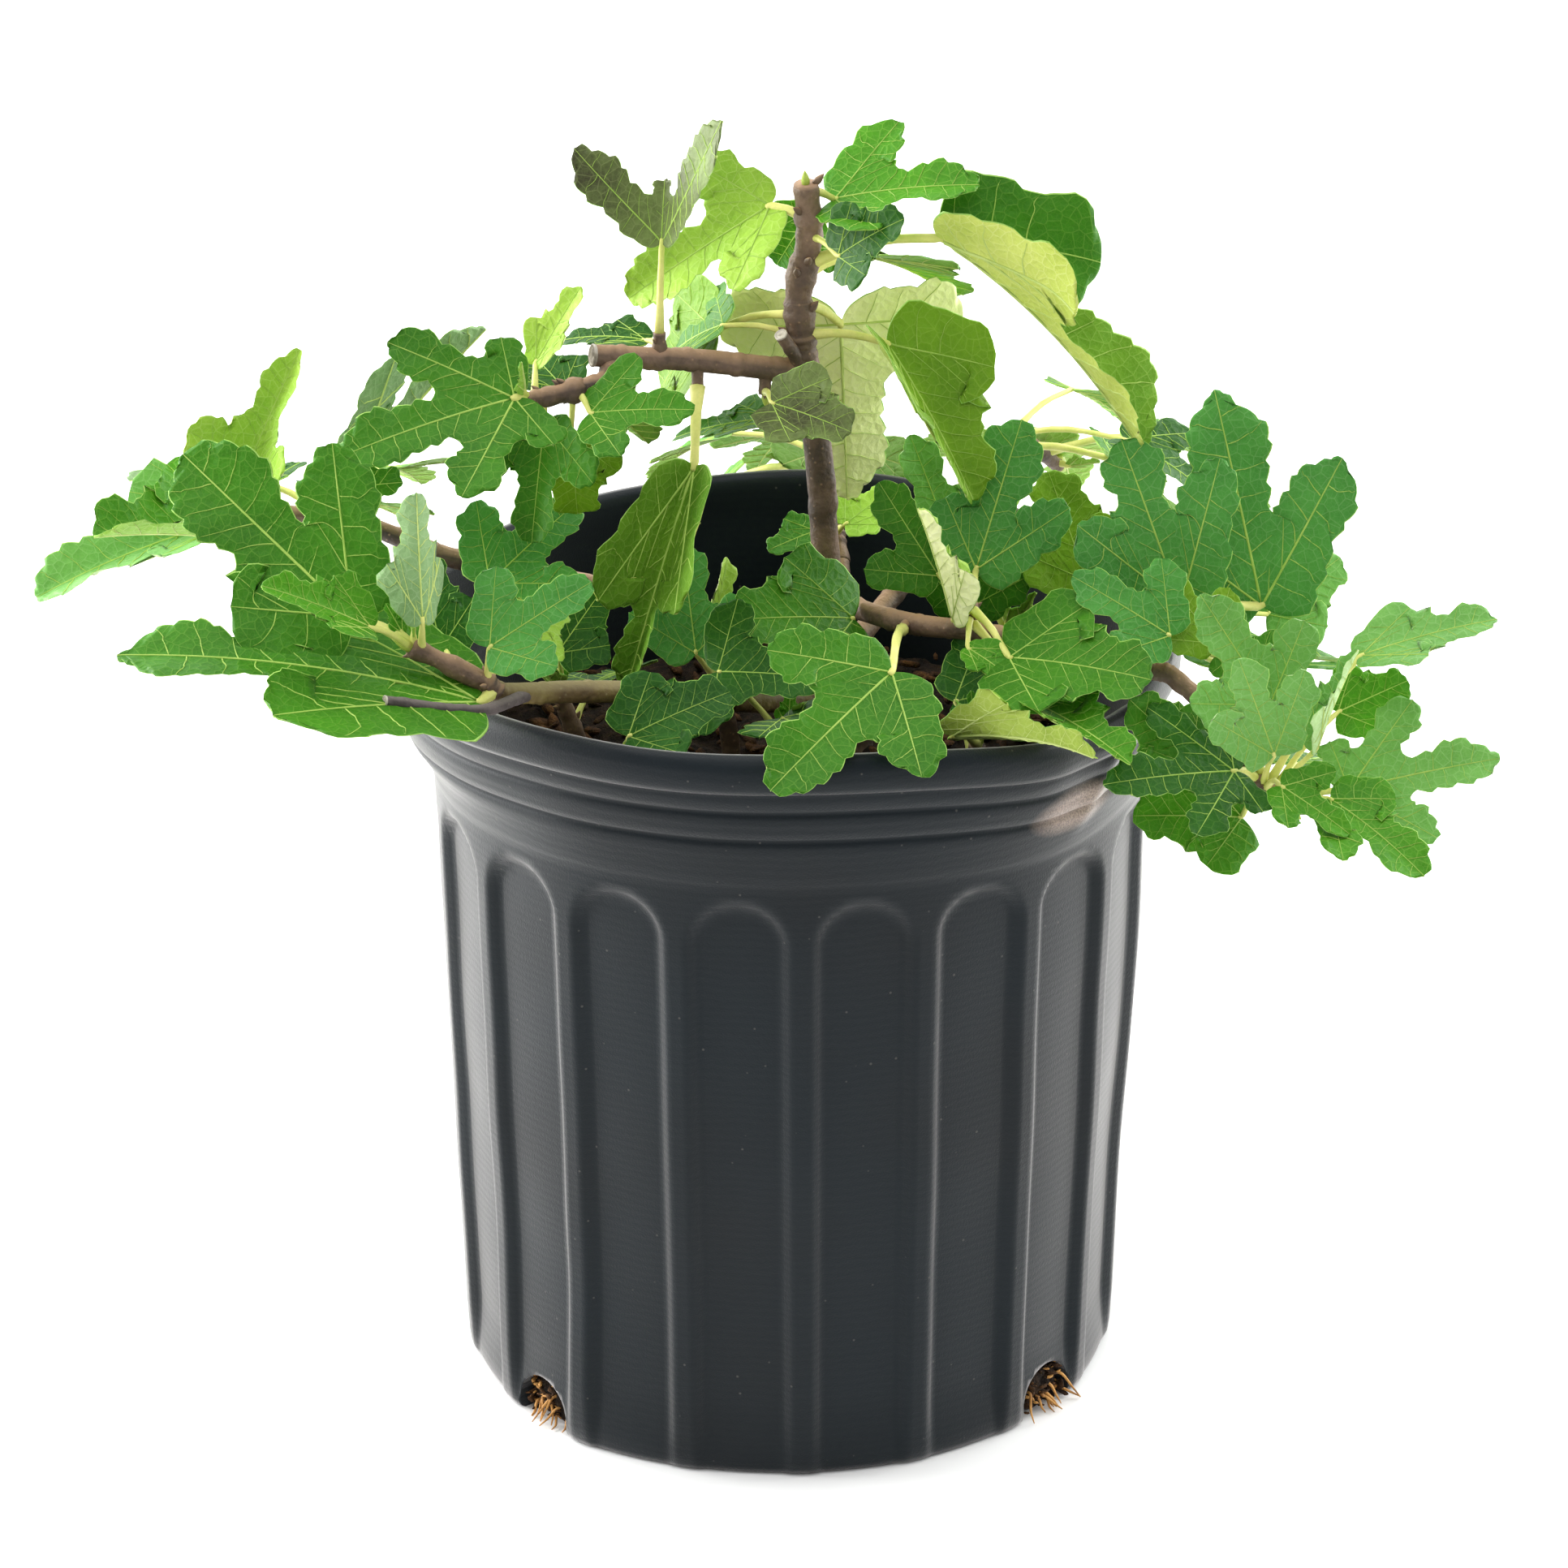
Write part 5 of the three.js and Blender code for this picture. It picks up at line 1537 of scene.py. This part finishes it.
    def sprouts(self, blades: Shell, veins: Shell, stalks: Shell, wood: Array, seed: int) -> None:
        """Adds two very young leaves beside the end bud, carried on up the same spiral.

        Args:
            blades: where their faces go.
            veins: where their ribs go.
            stalks: where their stalks go.
            wood: rows of x, y, z, radius.
            seed: picks their turns and sizes.
        """
        draw = SeededDraw(seed)
        spot, way, _ = spot_at(wood, 0.97)
        for i in range(2):
            turn = 144.0 * i + 360 * draw()
            out = direction(turn, 35)
            stalk = unit(out + way) * (4 + 3 * draw())
            blade = unit(stalk + np.array([0, 0, 2.0])) * self.sprout_blade * (0.6 + 0.4 * draw())
            row = Leaf(1.0, tuple(stalk), tuple(blade), (turn + 180, 30), Form.NARROW, 34, -12,
                          Tint.FRESH)
            start = self.maker.blade(blades, veins, spot + stalk, row, seed + 501 + i)
            self.maker.petiole(stalks, spot, spot + stalk, start, 22.0)


# ---------------- limbs
@dataclass(frozen=True)
class Limb:
    """A woody limb.

    Its run is rows of x, y, z, radius. Scars is the mean way between leaf scars, flare how much
    thicker its base is, finish its bark's number, and a cut limb ends in a face with a rolled rim.
    """

    line: Line
    scars: float = 15.0
    flare: float = 0.45
    finish: int = 0
    cut: bool = False


LIMBS: dict[str, Limb] = {
    "trunk": Limb(((19, 12, 176, 9.5), (19, 12, 183.5, 6.4), (18, 11.5, 192, 5.2), (15, 10, 210, 4.7),
                   (12, 8, 236, 4.6), (9.5, 6, 275, 4.5), (7, 5, 296, 4.4), (5, 4, 309, 4.2)), 21.0, 0.0),
    "left_arm": Limb(((6.6, 4.9, 299.5, 3.8), (-24, -4, 306.5, 3.6), (-53, -12, 311, 3.5)),
                     11.0, 0.3, 0, True),
    "arm_end_twig": Limb(((-48, -10.8, 309.5, 3.1), (-50, -14.8, 304.8, 3.1), (-56, -17, 303.2, 3.1)),
                         5.0, 0.1),
    "low_left_bough": Limb(((16.9, 10.9, 198, 4), (-10, -30, 214, 3.8), (-49, -66, 232, 3.5),
                            (-79, -80, 237.5, 3.3)), 18.0, 0.45, 1),
    "low_left_cut_twig": Limb(((-70, -76.4, 236, 1.9), (-84, -92, 237.5, 1.9), (-108, -102, 244.5, 1.8)),
                              9.0, 0.25, 2, True),
    "right_bough": Limb(((12.9, 8.4, 229, 3.6), (34, -24, 235, 3.4), (51, -36, 237.5, 3.2),
                         (80, -46, 236, 3.1), (102, -50, 231, 3)), 13.0),
    "right_outer_bough": Limb(((102, -50, 231, 3), (107, -50.9, 229.8, 2.9), (118, -56, 221, 2.8),
                               (126, -60, 211, 2.7)), 8.0, 0.0),
    "back_left_bough": Limb(((15.6, 10.4, 207, 3.9), (-40, 18, 226, 3.6), (-96, 20, 238, 3.2),
                             (-118, 23, 246, 3)), 16.0),
    "back_bough": Limb(((16.9, 10.9, 198, 3.6), (17, 30, 209, 3.5), (16, 51, 223.6, 3.2)), 12.0),
    "back_right_bough": Limb(((15.2, 10.2, 209, 3.6), (45, 60, 228, 3.3), (56, 84, 238, 3)), 14.0),
}


@dataclass
class Wood:
    """The trunk and boughs with their bark's relief, leaf scars and cut ends.

    An end's profile gives the share of the last ring's size and the way on past it, in its radii.
    """

    step: float = 0.85
    sides: int = 26
    slim: float = 0.9
    stub: Limb = Limb(((5.5, 3.6, 301.5, 2.3), (2, 0, 308, 2.15), (-1, -3, 313.5, 2.1)), 4.5, 0.2, 0, True)
    cut_finish: int = 3
    cut_profile: tuple[Pair, ...] = (
        (1.0, 0.0), (1.05, 0.12), (1.04, 0.26), (0.93, 0.34), (0.82, 0.22), (0.7, 0.16), (0.6, 0.24),
        (0.48, 0.14), (0.36, 0.18), (0.24, 0.02), (0.0, -0.1))
    round_profile: tuple[Pair, ...] = ((1.0, 0.0), (0.9, 0.25), (0.6, 0.45), (0.0, 0.55))
    finishes: tuple[BarkFinish, ...] = (
        BarkFinish("bark_brown", 0x786050, 0x574639, 0x3A3029, 0xB4906E),
        BarkFinish("bark_olive", 0x7A6C3C, 0x62502E, 0x493824, 0x968A62),
        BarkFinish("bark_dead", 0x5B5250, 0x443C3B, 0x302B2B, 0x7A716C, 0.75),
        BarkFinish("cut_wood", 0xC6BEB0, 0x8E8577, 0x5C544B, 0xD6D0C4, 0.85),
    )

    def build(self) -> list[Object]:
        """Makes one piece for each limb, the trunk's with the stub on it.

        Returns:
            The pieces.
        """
        barks = [f.build() for f in self.finishes]
        made = []
        for number, (name, limb) in enumerate(LIMBS.items()):
            shell = Shell()
            self.limb(shell, limb, number + 3)
            if name == "trunk":
                self.limb(shell, self.stub, 40)
            made.append(make_piece(name + "_bark", shell, barks, [name]))
        return made

    def limb(self, shell: Shell, limb: Limb, seed: int) -> None:
        """Adds a limb as a ring grid.

        A ring's radius is the line's, times one plus: a flare that dies away from the base, a ridge
        and a groove at each leaf scar, a slow lump and a fine streak along the grain.

        Args:
            shell: where it goes.
            limb: its run and traits.
            seed: picks the scars and lumps.
        """
        line = np.array(limb.line, float)
        reach = float(way_along(run_along(line, np.linspace(0, 1, 120))[0])[-1])
        rings = int(reach / self.step) + 2
        spot, along, radius = run_along(line, np.linspace(0, 1, rings))
        radius = radius * self.slim
        way = np.linspace(0, reach, rings)[:, None]
        angle = turns_of(self.sides)[None]
        draw = np.random.default_rng(seed)
        swell = limb.flare * np.exp(-(way / 6.5) ** 2) + np.zeros_like(angle)
        starts = np.cumsum(draw.uniform(0.7, 1.3, 40) * limb.scars) - limb.scars * 0.4
        for i, start in enumerate(starts[starts < reach - 1.5]):
            facing = math.radians(144.0 * i + 40)
            near = 0.5 + 0.5 * np.cos(angle - facing)
            tilt = 0.7 * np.cos(angle - facing)
            for height, past, half in ((0.05 + 0.13 * near**3, tilt, 1.25), (-0.055, tilt + 2.0, 0.5),
                                       (-0.05, tilt - 1.9, 0.5), (0.16 * near**14, 3.4, 1.5)):
                swell = swell + height * np.exp(-((way - start - past) / half) ** 2)
        around = np.stack(np.broadcast_arrays(np.cos(angle) * 3, np.sin(angle) * 3, way / 6), axis=-1)
        lumps, streaks = waves(around, 5.5, seed), waves(around * [2.4, 2.4, 0.8], 2.2, seed + 1)
        swell = swell + 0.035 * lumps + 0.018 * streaks
        across, other = ring_frames(along)
        ring = across[:, None] * np.cos(angle)[..., None] + other[:, None] * np.sin(angle)[..., None]
        grid = spot[:, None] + ring * (radius[:, None] * (1 + swell))[..., None]
        flat = np.stack(np.broadcast_arrays(angle * radius.mean(), way), axis=-1)
        shell.add(grid, grid_faces(rings, self.sides, True), limb.finish, flat)
        end, size = grid[-1] - spot[-1], float(radius[-1])
        profile, face = (self.cut_profile, self.cut_finish) if limb.cut else (self.round_profile, limb.finish)
        cap = np.stack([spot[-1] + end * a + along[-1] * size * b for a, b in profile])
        shell.add(cap, grid_faces(len(profile), self.sides, True), face)
        base = np.stack([grid[0], np.broadcast_to(spot[0], grid[0].shape)])
        shell.add(base, grid_faces(2, self.sides, True)[:, ::-1], limb.finish)


# ---------------- pot
DRAIN_TURNS = (-47.8, 52.2, 132.2, -127.8)


def wall_frame(angle: float) -> tuple[Array, Array, Array]:
    """The ways out, aside and up at a turn of the pot's wall, in degrees from the front."""
    out = np.array([math.sin(math.radians(angle)), -math.cos(math.radians(angle)), 0.0])
    return out, np.array([-out[1], out[0], 0.0]), np.array([0, 0, 1.0])


def rim_sag(x: Array, y: Array, z: Array) -> Array:
    """How far the soft rim hangs: at its two sides and at a crease, growing smoothly from 150 mm up.

    Args:
        x: places to the right.
        y: places away.
        z: their heights.

    Returns:
        The way down of each place.
    """
    turn = np.degrees(np.arctan2(x, -y))
    rise = np.clip((z - 150) / 81, 0, 1)
    side = 5 * np.sin(np.radians(turn)) ** 2
    return (side + 7 * np.exp(-(((turn - 48) / 22) ** 2))) * rise**2 * (3 - 2 * rise)


@dataclass(frozen=True)
class Bulge:
    """A soft swell of the pot's wall, or a dent where its height is below 0.

    It has a turn and a half width in degrees and rises between two heights, or dies away between
    them where it fades; with a lean, its turn moves on by so many degrees a millimetre past the pivot.
    """

    height: float
    turn: float
    half: float
    low: float
    high: float
    fades: bool = False
    lean: float = 0.0
    pivot: float = 215.0

    def at(self, turn: Array, z: Array) -> Array:
        """How far the wall stands out.

        Args:
            turn: the places' turns in degrees.
            z: their heights.

        Returns:
            One value for each place.
        """
        rise = smooth(z, self.low, self.high)
        off = (turn - self.turn - (z - self.pivot) * self.lean) / self.half
        return self.height * np.exp(-(off**2)) * (1 - rise if self.fades else rise)


@dataclass
class NurseryPot:
    """The fluted nursery pot: one closed wall with a rolled lip, grooves, arched flutes and drain holes."""

    columns: int = 504
    row_step: float = 2.3
    flutes: int = 18
    flute_start: float = -67.8
    flute_half: float = 14.0
    flute_edge: float = 3.0
    flute_spring: float = 169.5
    flute_depth: float = 2.9
    flute_bow: float = 0.3
    flute_radius: float = 98.5
    drain_turns: tuple[float, ...] = DRAIN_TURNS
    drain_width: float = 22.0
    drain_height: float = 15.0
    drain_reach: Pair = (81.0, 112.0)
    bulges: tuple[Bulge, ...] = (
        Bulge(2.4, 88, 30, 40, 150), Bulge(2.6, -38, 20, 6, 60, True), Bulge(5.6, -92, 32, 193, 205),
        Bulge(-1.5, 50, 5.5, 196, 224), Bulge(1.1, 57, 2.4, 192, 206, False, 0.35))
    profile: tuple[Pair, ...] = (
        (0, 1.2), (60, 1.2), (84, 1.0), (87, 0), (94.4, 0), (95.8, 0.8), (96.6, 2.6), (97.0, 6),
        (97.5, 16), (100.1, 100), (102.2, 184), (102.4, 188), (102.9, 189.6), (103.3, 191),
        (105.2, 201.5), (105.0, 203), (104.5, 203.8), (105.6, 204.8), (106.9, 211), (106.6, 212.2),
        (106.2, 213), (107.3, 214), (108.3, 218.2), (108.1, 219.2), (109.8, 220.0), (110.8, 221.6),
        (111, 224), (110.9, 227), (110.2, 229.4), (108.6, 231), (106.8, 230.8), (105.3, 229.2),
        (104.5, 225), (103.8, 218), (98.6, 186), (91.2, 7), (89.5, 4.6), (87, 4), (0, 4))
    finish: PlasticFinish = PlasticFinish("plastic_charcoal", 0x08141A, 0x060F14, 0x56534F, 0.36)

    def rows(self) -> Array:
        """The profile's corners with even steps between them, longer ones under the floor.

        Returns:
            Radius and height of each row.
        """
        line = np.array(self.profile, float)
        found = [line[:1]]
        for a, b in zip(line[:-1], line[1:]):
            coarse = 6 if min(a[0], b[0]) < 84 else 1
            steps = max(1, round(float(np.linalg.norm(b - a)) / self.row_step / coarse))
            found.append(a + (b - a) * np.linspace(0, 1, steps + 1)[1:, None])
        return np.concatenate(found)

    def recess(self, turn: Array, z: Array) -> Array:
        """How deep each place of the wall lies in a flute.

        A flute is a band with a half round top. The depth rises smoothly over the edge's width with
        the way in from that outline, and the panel is a little flatter than the wall.

        Args:
            turn: the places' turns in degrees.
            z: their heights.

        Returns:
            One depth for each place.
        """
        pitch = 360 / self.flutes
        off = np.mod(turn - self.flute_start + pitch / 2, pitch) - pitch / 2
        across = np.radians(off) * self.flute_radius
        high = np.maximum(z - self.flute_spring, 0)
        inside = self.flute_half - np.sqrt(across**2 + high**2)
        mask = smooth(inside, -0.6, self.flute_edge)
        panel = self.flute_depth + self.flute_bow * np.clip(1 - (across / self.flute_half) ** 2, 0, 1)
        return mask * panel * smooth(z, -10, 22)

    def build(self) -> list[Object]:
        """Makes the wall as a surface of turn and profile, and cuts the drain holes.

        A place stands at the profile's radius less the flute's recess, with the soft wall's bulges
        and a faint unevenness, and hangs by the rim's sag.

        Returns:
            The pot.
        """
        rows = self.rows()
        turn = np.linspace(-180, 180, self.columns, endpoint=False)[None]
        radius, z = rows[:, :1], rows[:, 1:]
        peak = int(np.argmax(rows[:, 1]))
        outer = ((np.arange(len(rows))[:, None] < peak) & (radius > 92)).astype(float)
        cosine, sine = np.cos(np.radians(turn)), np.sin(np.radians(turn))
        place = np.stack(np.broadcast_arrays(cosine * 100, sine * 100, z), axis=-1)
        shape = radius - outer * self.recess(turn, z)
        wall = smooth(radius, 86, 95)
        shape = shape + wall * smooth(z, 20, 90) * 0.22 * waves(place, 46.0, 5)
        for bulge in self.bulges:
            shape = shape + wall * bulge.at(turn, z)
        x, y = shape * sine, -shape * cosine
        z = np.broadcast_to(z, x.shape)
        z = z - rim_sag(x, y, z) - 0.35 * smooth(z, 200, 226) * waves(place * [1, 1, 0], 60.0, 9)
        shell = Shell()
        shell.add(np.stack([x, y, z], axis=-1), grid_faces(len(rows), self.columns, True)[:, ::-1])
        pot = make_piece("pot_wall", shell, [self.finish.build()], ["pot"], recalculate=True)
        for angle in self.drain_turns:
            self.drill(pot, angle)
        return [pot]

    def drill(self, pot: Object, angle: float) -> None:
        """Cuts one drain hole: an arch with a half round top, between the two drain reaches.

        Args:
            pot: the wall.
            angle: the hole's turn in degrees.
        """
        half, spring = self.drain_width / 2, self.drain_height - self.drain_width / 2
        arc = np.radians(np.linspace(0, 180, 15))
        arch = np.stack([half * np.cos(arc), spring + half * np.sin(arc)], axis=1)
        under = -5.0
        outline = np.concatenate([[[half, under]], arch, [[-half, under]]])
        out, side, up = wall_frame(angle)
        ring = outline[:, :1] * side + outline[:, 1:] * up
        points = np.concatenate([ring + out * reach for reach in self.drain_reach]) * MM
        count = len(outline)
        faces = [tuple(range(count)), tuple(range(2 * count - 1, count - 1, -1))]
        faces += [((i + 1) % count, i, count + i, count + (i + 1) % count) for i in range(count)]
        mesh = bpy.data.meshes.new("drain_cutter")
        mesh.from_pydata(points.tolist(), [], faces)
        clean_mesh(mesh)
        cutter = place_object("drain_cutter", mesh)
        hole = pot.modifiers.new("drain_hole", "BOOLEAN")
        hole.operation, hole.solver, hole.object = "DIFFERENCE", "EXACT", cutter
        bpy.context.view_layer.update()
        result = bpy.data.meshes.new_from_object(pot.evaluated_get(bpy.context.evaluated_depsgraph_get()))
        pot.modifiers.clear()
        old, pot.data = pot.data, result
        bpy.data.meshes.remove(old)
        bpy.data.objects.remove(cutter)
        result.name = "pot_wall"


@dataclass
class PottingMix:
    """The bark mix that fills the pot, and the plugs and roots that show in its drain holes."""

    level: float = 180.0
    radius: float = 96.5
    chips: int = 520
    foot_radius: float = 88.0
    foot_level: float = 5.0
    sides: int = 180
    rings: int = 90
    plug_size: Pair = (10.4, 6.6)
    plug_face: float = 91.5
    plug_barks: int = 44
    plug_fibres: int = 20
    plug_roots: int = 10
    turns: tuple[float, ...] = DRAIN_TURNS
    crumb: CrumbFinish = CrumbFinish("mix_crumb", 0x3A2B1E, 0x241B14, 0x130F0C)
    chip: CrumbFinish = CrumbFinish("bark_chips", 0x6A4828, 0x422D1C, 0x231912, 180.0)
    root: StemFinish = StemFinish("roots_tan", 0xC79450, 0x8E5F2C, 0.7, 300.0, 0.0002)

    def build(self) -> list[Object]:
        """Makes the bed with its skirt and base, the plugs, the chips and the roots.

        Returns:
            The bed, and the bits and roots.
        """
        finishes = [self.crumb.build(), self.chip.build(), self.root.build()]
        bed, bits = Shell(), Shell()
        share = np.linspace(0, 1, self.rings)[:, None]
        turn = turns_of(self.sides)[None]
        far = self.radius * np.sin(share * math.pi / 2) ** 0.9
        x, y = far * np.cos(turn), far * np.sin(turn)
        flat = np.stack([x, y], axis=-1)
        z = (self.level + 1.1 * waves(flat, 34, 2) + 0.8 * waves(flat, 9, 3) + 0.5 * waves(flat, 3.6, 4)
             + 2.5 * np.exp(-((x - 19) ** 2 + (y - 12) ** 2) / 160) - 2.0 * smooth(far, 80, 97))
        down, inward = np.linspace(0, 1, 24)[:, None], np.linspace(1, 0, 6)[:, None]
        skirt = (self.radius + (self.foot_radius - self.radius) * down,
                 z[-1:] + (self.foot_level - z[-1:]) * down)
        base = (self.foot_radius * inward, np.full((len(inward), self.sides), self.foot_level))
        for wide, high in ((far, z), skirt, base):
            grid = np.stack([wide * np.cos(turn), wide * np.sin(turn), high], axis=-1)
            bed.add(grid, grid_faces(len(grid), self.sides, True))
        for number, angle in enumerate(self.turns):
            self.plug(bed, bits, angle, number)
        self.scatter(bits)
        return [make_piece("mix_bed", bed, finishes, ["potting_mix"], recalculate=True),
                make_piece("mix_bits_and_roots", bits, finishes, ["potting_mix"])]

    def scatter(self, bits: Shell) -> None:
        """Adds the chips on the bed at seeded places, as many to each part of its surface.

        Args:
            bits: where they go.
        """
        draw = np.random.default_rng(8)
        n = self.chips
        far, turn = 94 * np.sqrt(draw.uniform(0, 1, n)), draw.uniform(0, 2 * math.pi, n)
        high = self.level + 0.6 + draw.uniform(0, 2.2, n)
        middle = np.stack([far * np.cos(turn), far * np.sin(turn), high], axis=1)
        self.slivers(bits, middle, draw.uniform(1.4, 5.2, n), draw, 1)

    def slivers(self, bits: Shell, middle: Array, size: Array, draw: np.random.Generator,
                finish: int) -> None:
        """Adds flat six-sided slivers of bark, all worked out as one array.

        Each is three rings of six points between two middles, turned by three seeded angles.

        Args:
            bits: where they go.
            middle: their places.
            size: their half lengths.
            draw: the seeded draws of their outlines, thickness and turns.
            finish: their finish number.
        """
        n = len(middle)
        angle = turns_of(6)[None] + draw.normal(0, 0.12, (n, 6))
        wide = size[:, None] * draw.uniform(0.75, 1.1, (n, 6))
        slim = draw.uniform(0.3, 0.6, n)[:, None]
        ring = np.stack([wide * np.cos(angle), wide * slim * np.sin(angle), np.zeros((n, 6))], axis=-1)
        thick = size[:, None, None] * draw.uniform(0.1, 0.24, n)[:, None, None] * np.array([0, 0, 1.0])
        levels = np.stack([ring * 0, ring * 0.86, ring, ring * 0.8, ring * 0], axis=1)
        rise = np.array([-1.0, -1.0, 0.1, 1.0, 1.0])[None, :, None, None]
        shape = levels + thick[:, None] * rise
        tip, roll, turn = draw.normal(0, 0.35, n), draw.normal(0, 0.35, n), draw.uniform(0, 2 * math.pi, n)
        turned = rotations(turn, 2) @ rotations(tip, 0) @ rotations(roll, 1)
        shape = np.einsum("nij,nlkj->nlki", turned, shape) + middle[:, None, None]
        faces = grid_faces(5, 6, True)
        faces = (faces[None] + (np.arange(n) * 30)[:, None, None]).reshape(-1, 4)
        bits.add(shape, faces, finish)

    def plug(self, bed: Shell, bits: Shell, angle: float, seed: int) -> None:
        """Adds what fills a drain hole: a bulging plug, bark bits pressed in it, and fibrous roots.

        Args:
            bed: where the plug goes.
            bits: where the bits and roots go.
            angle: the hole's turn in degrees.
            seed: picks the bits and roots.
        """
        draw = np.random.default_rng(60 + seed)
        out, side, up = wall_frame(angle)
        share = np.linspace(0, 1, 14)[:, None]
        turn = turns_of(28)[None]
        wide, high = self.plug_size[0] * share * np.cos(turn), self.plug_size[1] * (1 + share * np.sin(turn))
        lumps = waves(np.stack([wide, high], axis=-1), 3.0, seed)
        bulge = self.plug_face + 2.2 * (1 - share**2) + 0.5 * lumps
        grid = wide[..., None] * side + bulge[..., None] * out + high[..., None] * up
        bed.add(grid, grid_faces(14, 28, True)[:, ::-1])
        back = np.stack([grid[-1], grid[-1] - out * 9])
        bed.add(back, grid_faces(2, 28, True)[:, ::-1])
        barks, fibres = self.plug_barks, self.plug_fibres
        aside, high, reach = (draw.uniform(low, top, (barks + fibres, 1)) for low, top in (
            (-9.4, 9.4), (1.4, 12.4), (91.8, 94.6)))
        middle = aside * side + high * up + reach * out
        self.slivers(bits, middle[:barks], draw.uniform(0.9, 2.6, barks), draw, 1)
        self.slivers(bits, middle[barks:], draw.uniform(0.8, 2.2, fibres), draw, 2)
        for _ in range(self.plug_roots):
            a, h, reach = draw.uniform(-9.0, 9.0), draw.uniform(1.5, 8), draw.uniform(2.0, 6.5)
            near, end = 91.0, 94.0 + reach
            drift = draw.uniform(-4.5, 4.5)
            lift = h + draw.uniform(-0.5, 1.0)
            line = [[*(out * near + side * a + up * h), 0.5],
                    [*(out * (near + 3.2) + side * (a + 0.3 * drift) + up * lift), 0.46],
                    [*(out * (0.5 * (near + 3 + end)) + side * (a + 0.8 * drift) + up * (0.5 * h)), 0.36],
                    [*(out * min(end, 99.5) + side * (a + drift) + up * 0.5), 0.16]]
            bits.tube(np.array(line), 5, 14, 2)


# ---------------- studio
@dataclass
class Studio:
    """The plain pale floor, the soft lights and the camera."""

    focal: float = 7218.5 / 1932 * 36
    distance: float = 1700.0
    rise: float = 23.76
    roll: float = -0.25
    target: Point = (-0.74, 0.0, 174.9)
    world: float = 0.6
    panels: tuple[tuple[str, Point, float, float], ...] = (
        ("top_panel", (0.0, 0.0, 2.0), 1.7, 21.0),
        ("left_panel", (-1.35, 0.5, 0.4), 1.6, 80.0),
        ("right_panel", (1.35, 0.75, 0.5), 1.6, 56.0),
        ("front_panel", (-0.3, -1.9, 2.0), 1.0, 9.0),
        ("back_panel", (0.0, 2.0, 0.7), 2.2, 24.0),
    )

    def build(self) -> None:
        """Makes the floor, the world, the lights and the camera."""
        self.floor()
        world = bpy.data.worlds.new("soft_room")
        world.use_nodes = True
        back = world.node_tree.nodes["Background"]
        back.inputs["Color"].default_value = (1.0, 1.0, 1.0, 1.0)
        back.inputs["Strength"].default_value = self.world
        bpy.context.scene.world = world
        bpy.context.scene.view_settings.view_transform = "Standard"
        for name, spot, size, power in self.panels:
            self.light(name, spot, size, power)
        self.camera()

    def floor(self) -> None:
        """Makes the floor: a wide grid that is flat under the plant."""
        size = np.linspace(-6, 6, 13)
        x, y = np.meshgrid(size, size + 1.0)
        points = np.stack([x, y, np.zeros_like(x) - 0.0002], axis=-1).reshape(-1, 3)
        mesh = bpy.data.meshes.new("floor")
        mesh.from_pydata(points.tolist(), [], grid_faces(13, 13, False).tolist())
        made = Surface("floor_white", 2.0, 40.0)
        whites = [(0.3, (0.9, 0.9, 0.9, 1)), (0.8, (0.93, 0.93, 0.93, 1))]
        made.coat(made.nodes.ramp(made.mottle, whites), 0.9, 0.5)
        mesh.materials.append(made.material)
        place_object("floor", mesh)

    def light(self, name: str, spot: Point, size: float, power: float) -> None:
        """Adds a square soft panel that faces the middle of the plant.

        Args:
            name: its name.
            spot: its place, in metres.
            size: its side, in metres.
            power: in watts.
        """
        lamp = bpy.data.lights.new(name, "AREA")
        lamp.size, lamp.energy = size, power
        holder = place_object(name, lamp)
        holder.location = spot
        holder.rotation_mode = "QUATERNION"
        holder.rotation_quaternion = (Vector((0, 0, 0.2)) - Vector(spot)).to_track_quat("-Z", "Y")

    def camera(self) -> None:
        """Adds the camera: it looks down at the target from its distance, a little rolled."""
        rise = math.radians(self.rise)
        back = Vector((0, -math.cos(rise), math.sin(rise)))
        view = bpy.data.cameras.new("camera")
        view.sensor_width, view.lens = 36.0, self.focal
        view.clip_start, view.clip_end = 0.05, 30.0
        holder = place_object("camera", view)
        level = Matrix((Vector((1, 0, 0)), back.cross(Vector((1, 0, 0))), back)).transposed()
        turned = level @ Matrix.Rotation(math.radians(self.roll), 3, "Z")
        spot = (Vector(self.target) + back * self.distance) * MM
        holder.matrix_world = Matrix.Translation(spot) @ turned.to_4x4()
        bpy.context.scene.camera = holder


def corners(box: tuple[Vector, Vector]) -> list[list[float]]:
    """A box's lowest and highest corner as plain lists."""
    return [list(box[0]), list(box[1])]


def main() -> None:
    """Builds the plant in order, from the pot up."""
    logging.basicConfig(level=logging.INFO, format="%(name)s: %(message)s")
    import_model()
    for maker in (NurseryPot(), PottingMix(), Wood(), Foliage()):
        for piece in maker.build():
            LOG.info("%s: %d faces", piece.name, len(piece.data.polygons))
    Studio().build()
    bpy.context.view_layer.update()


if __name__ == "__main__":
    main()
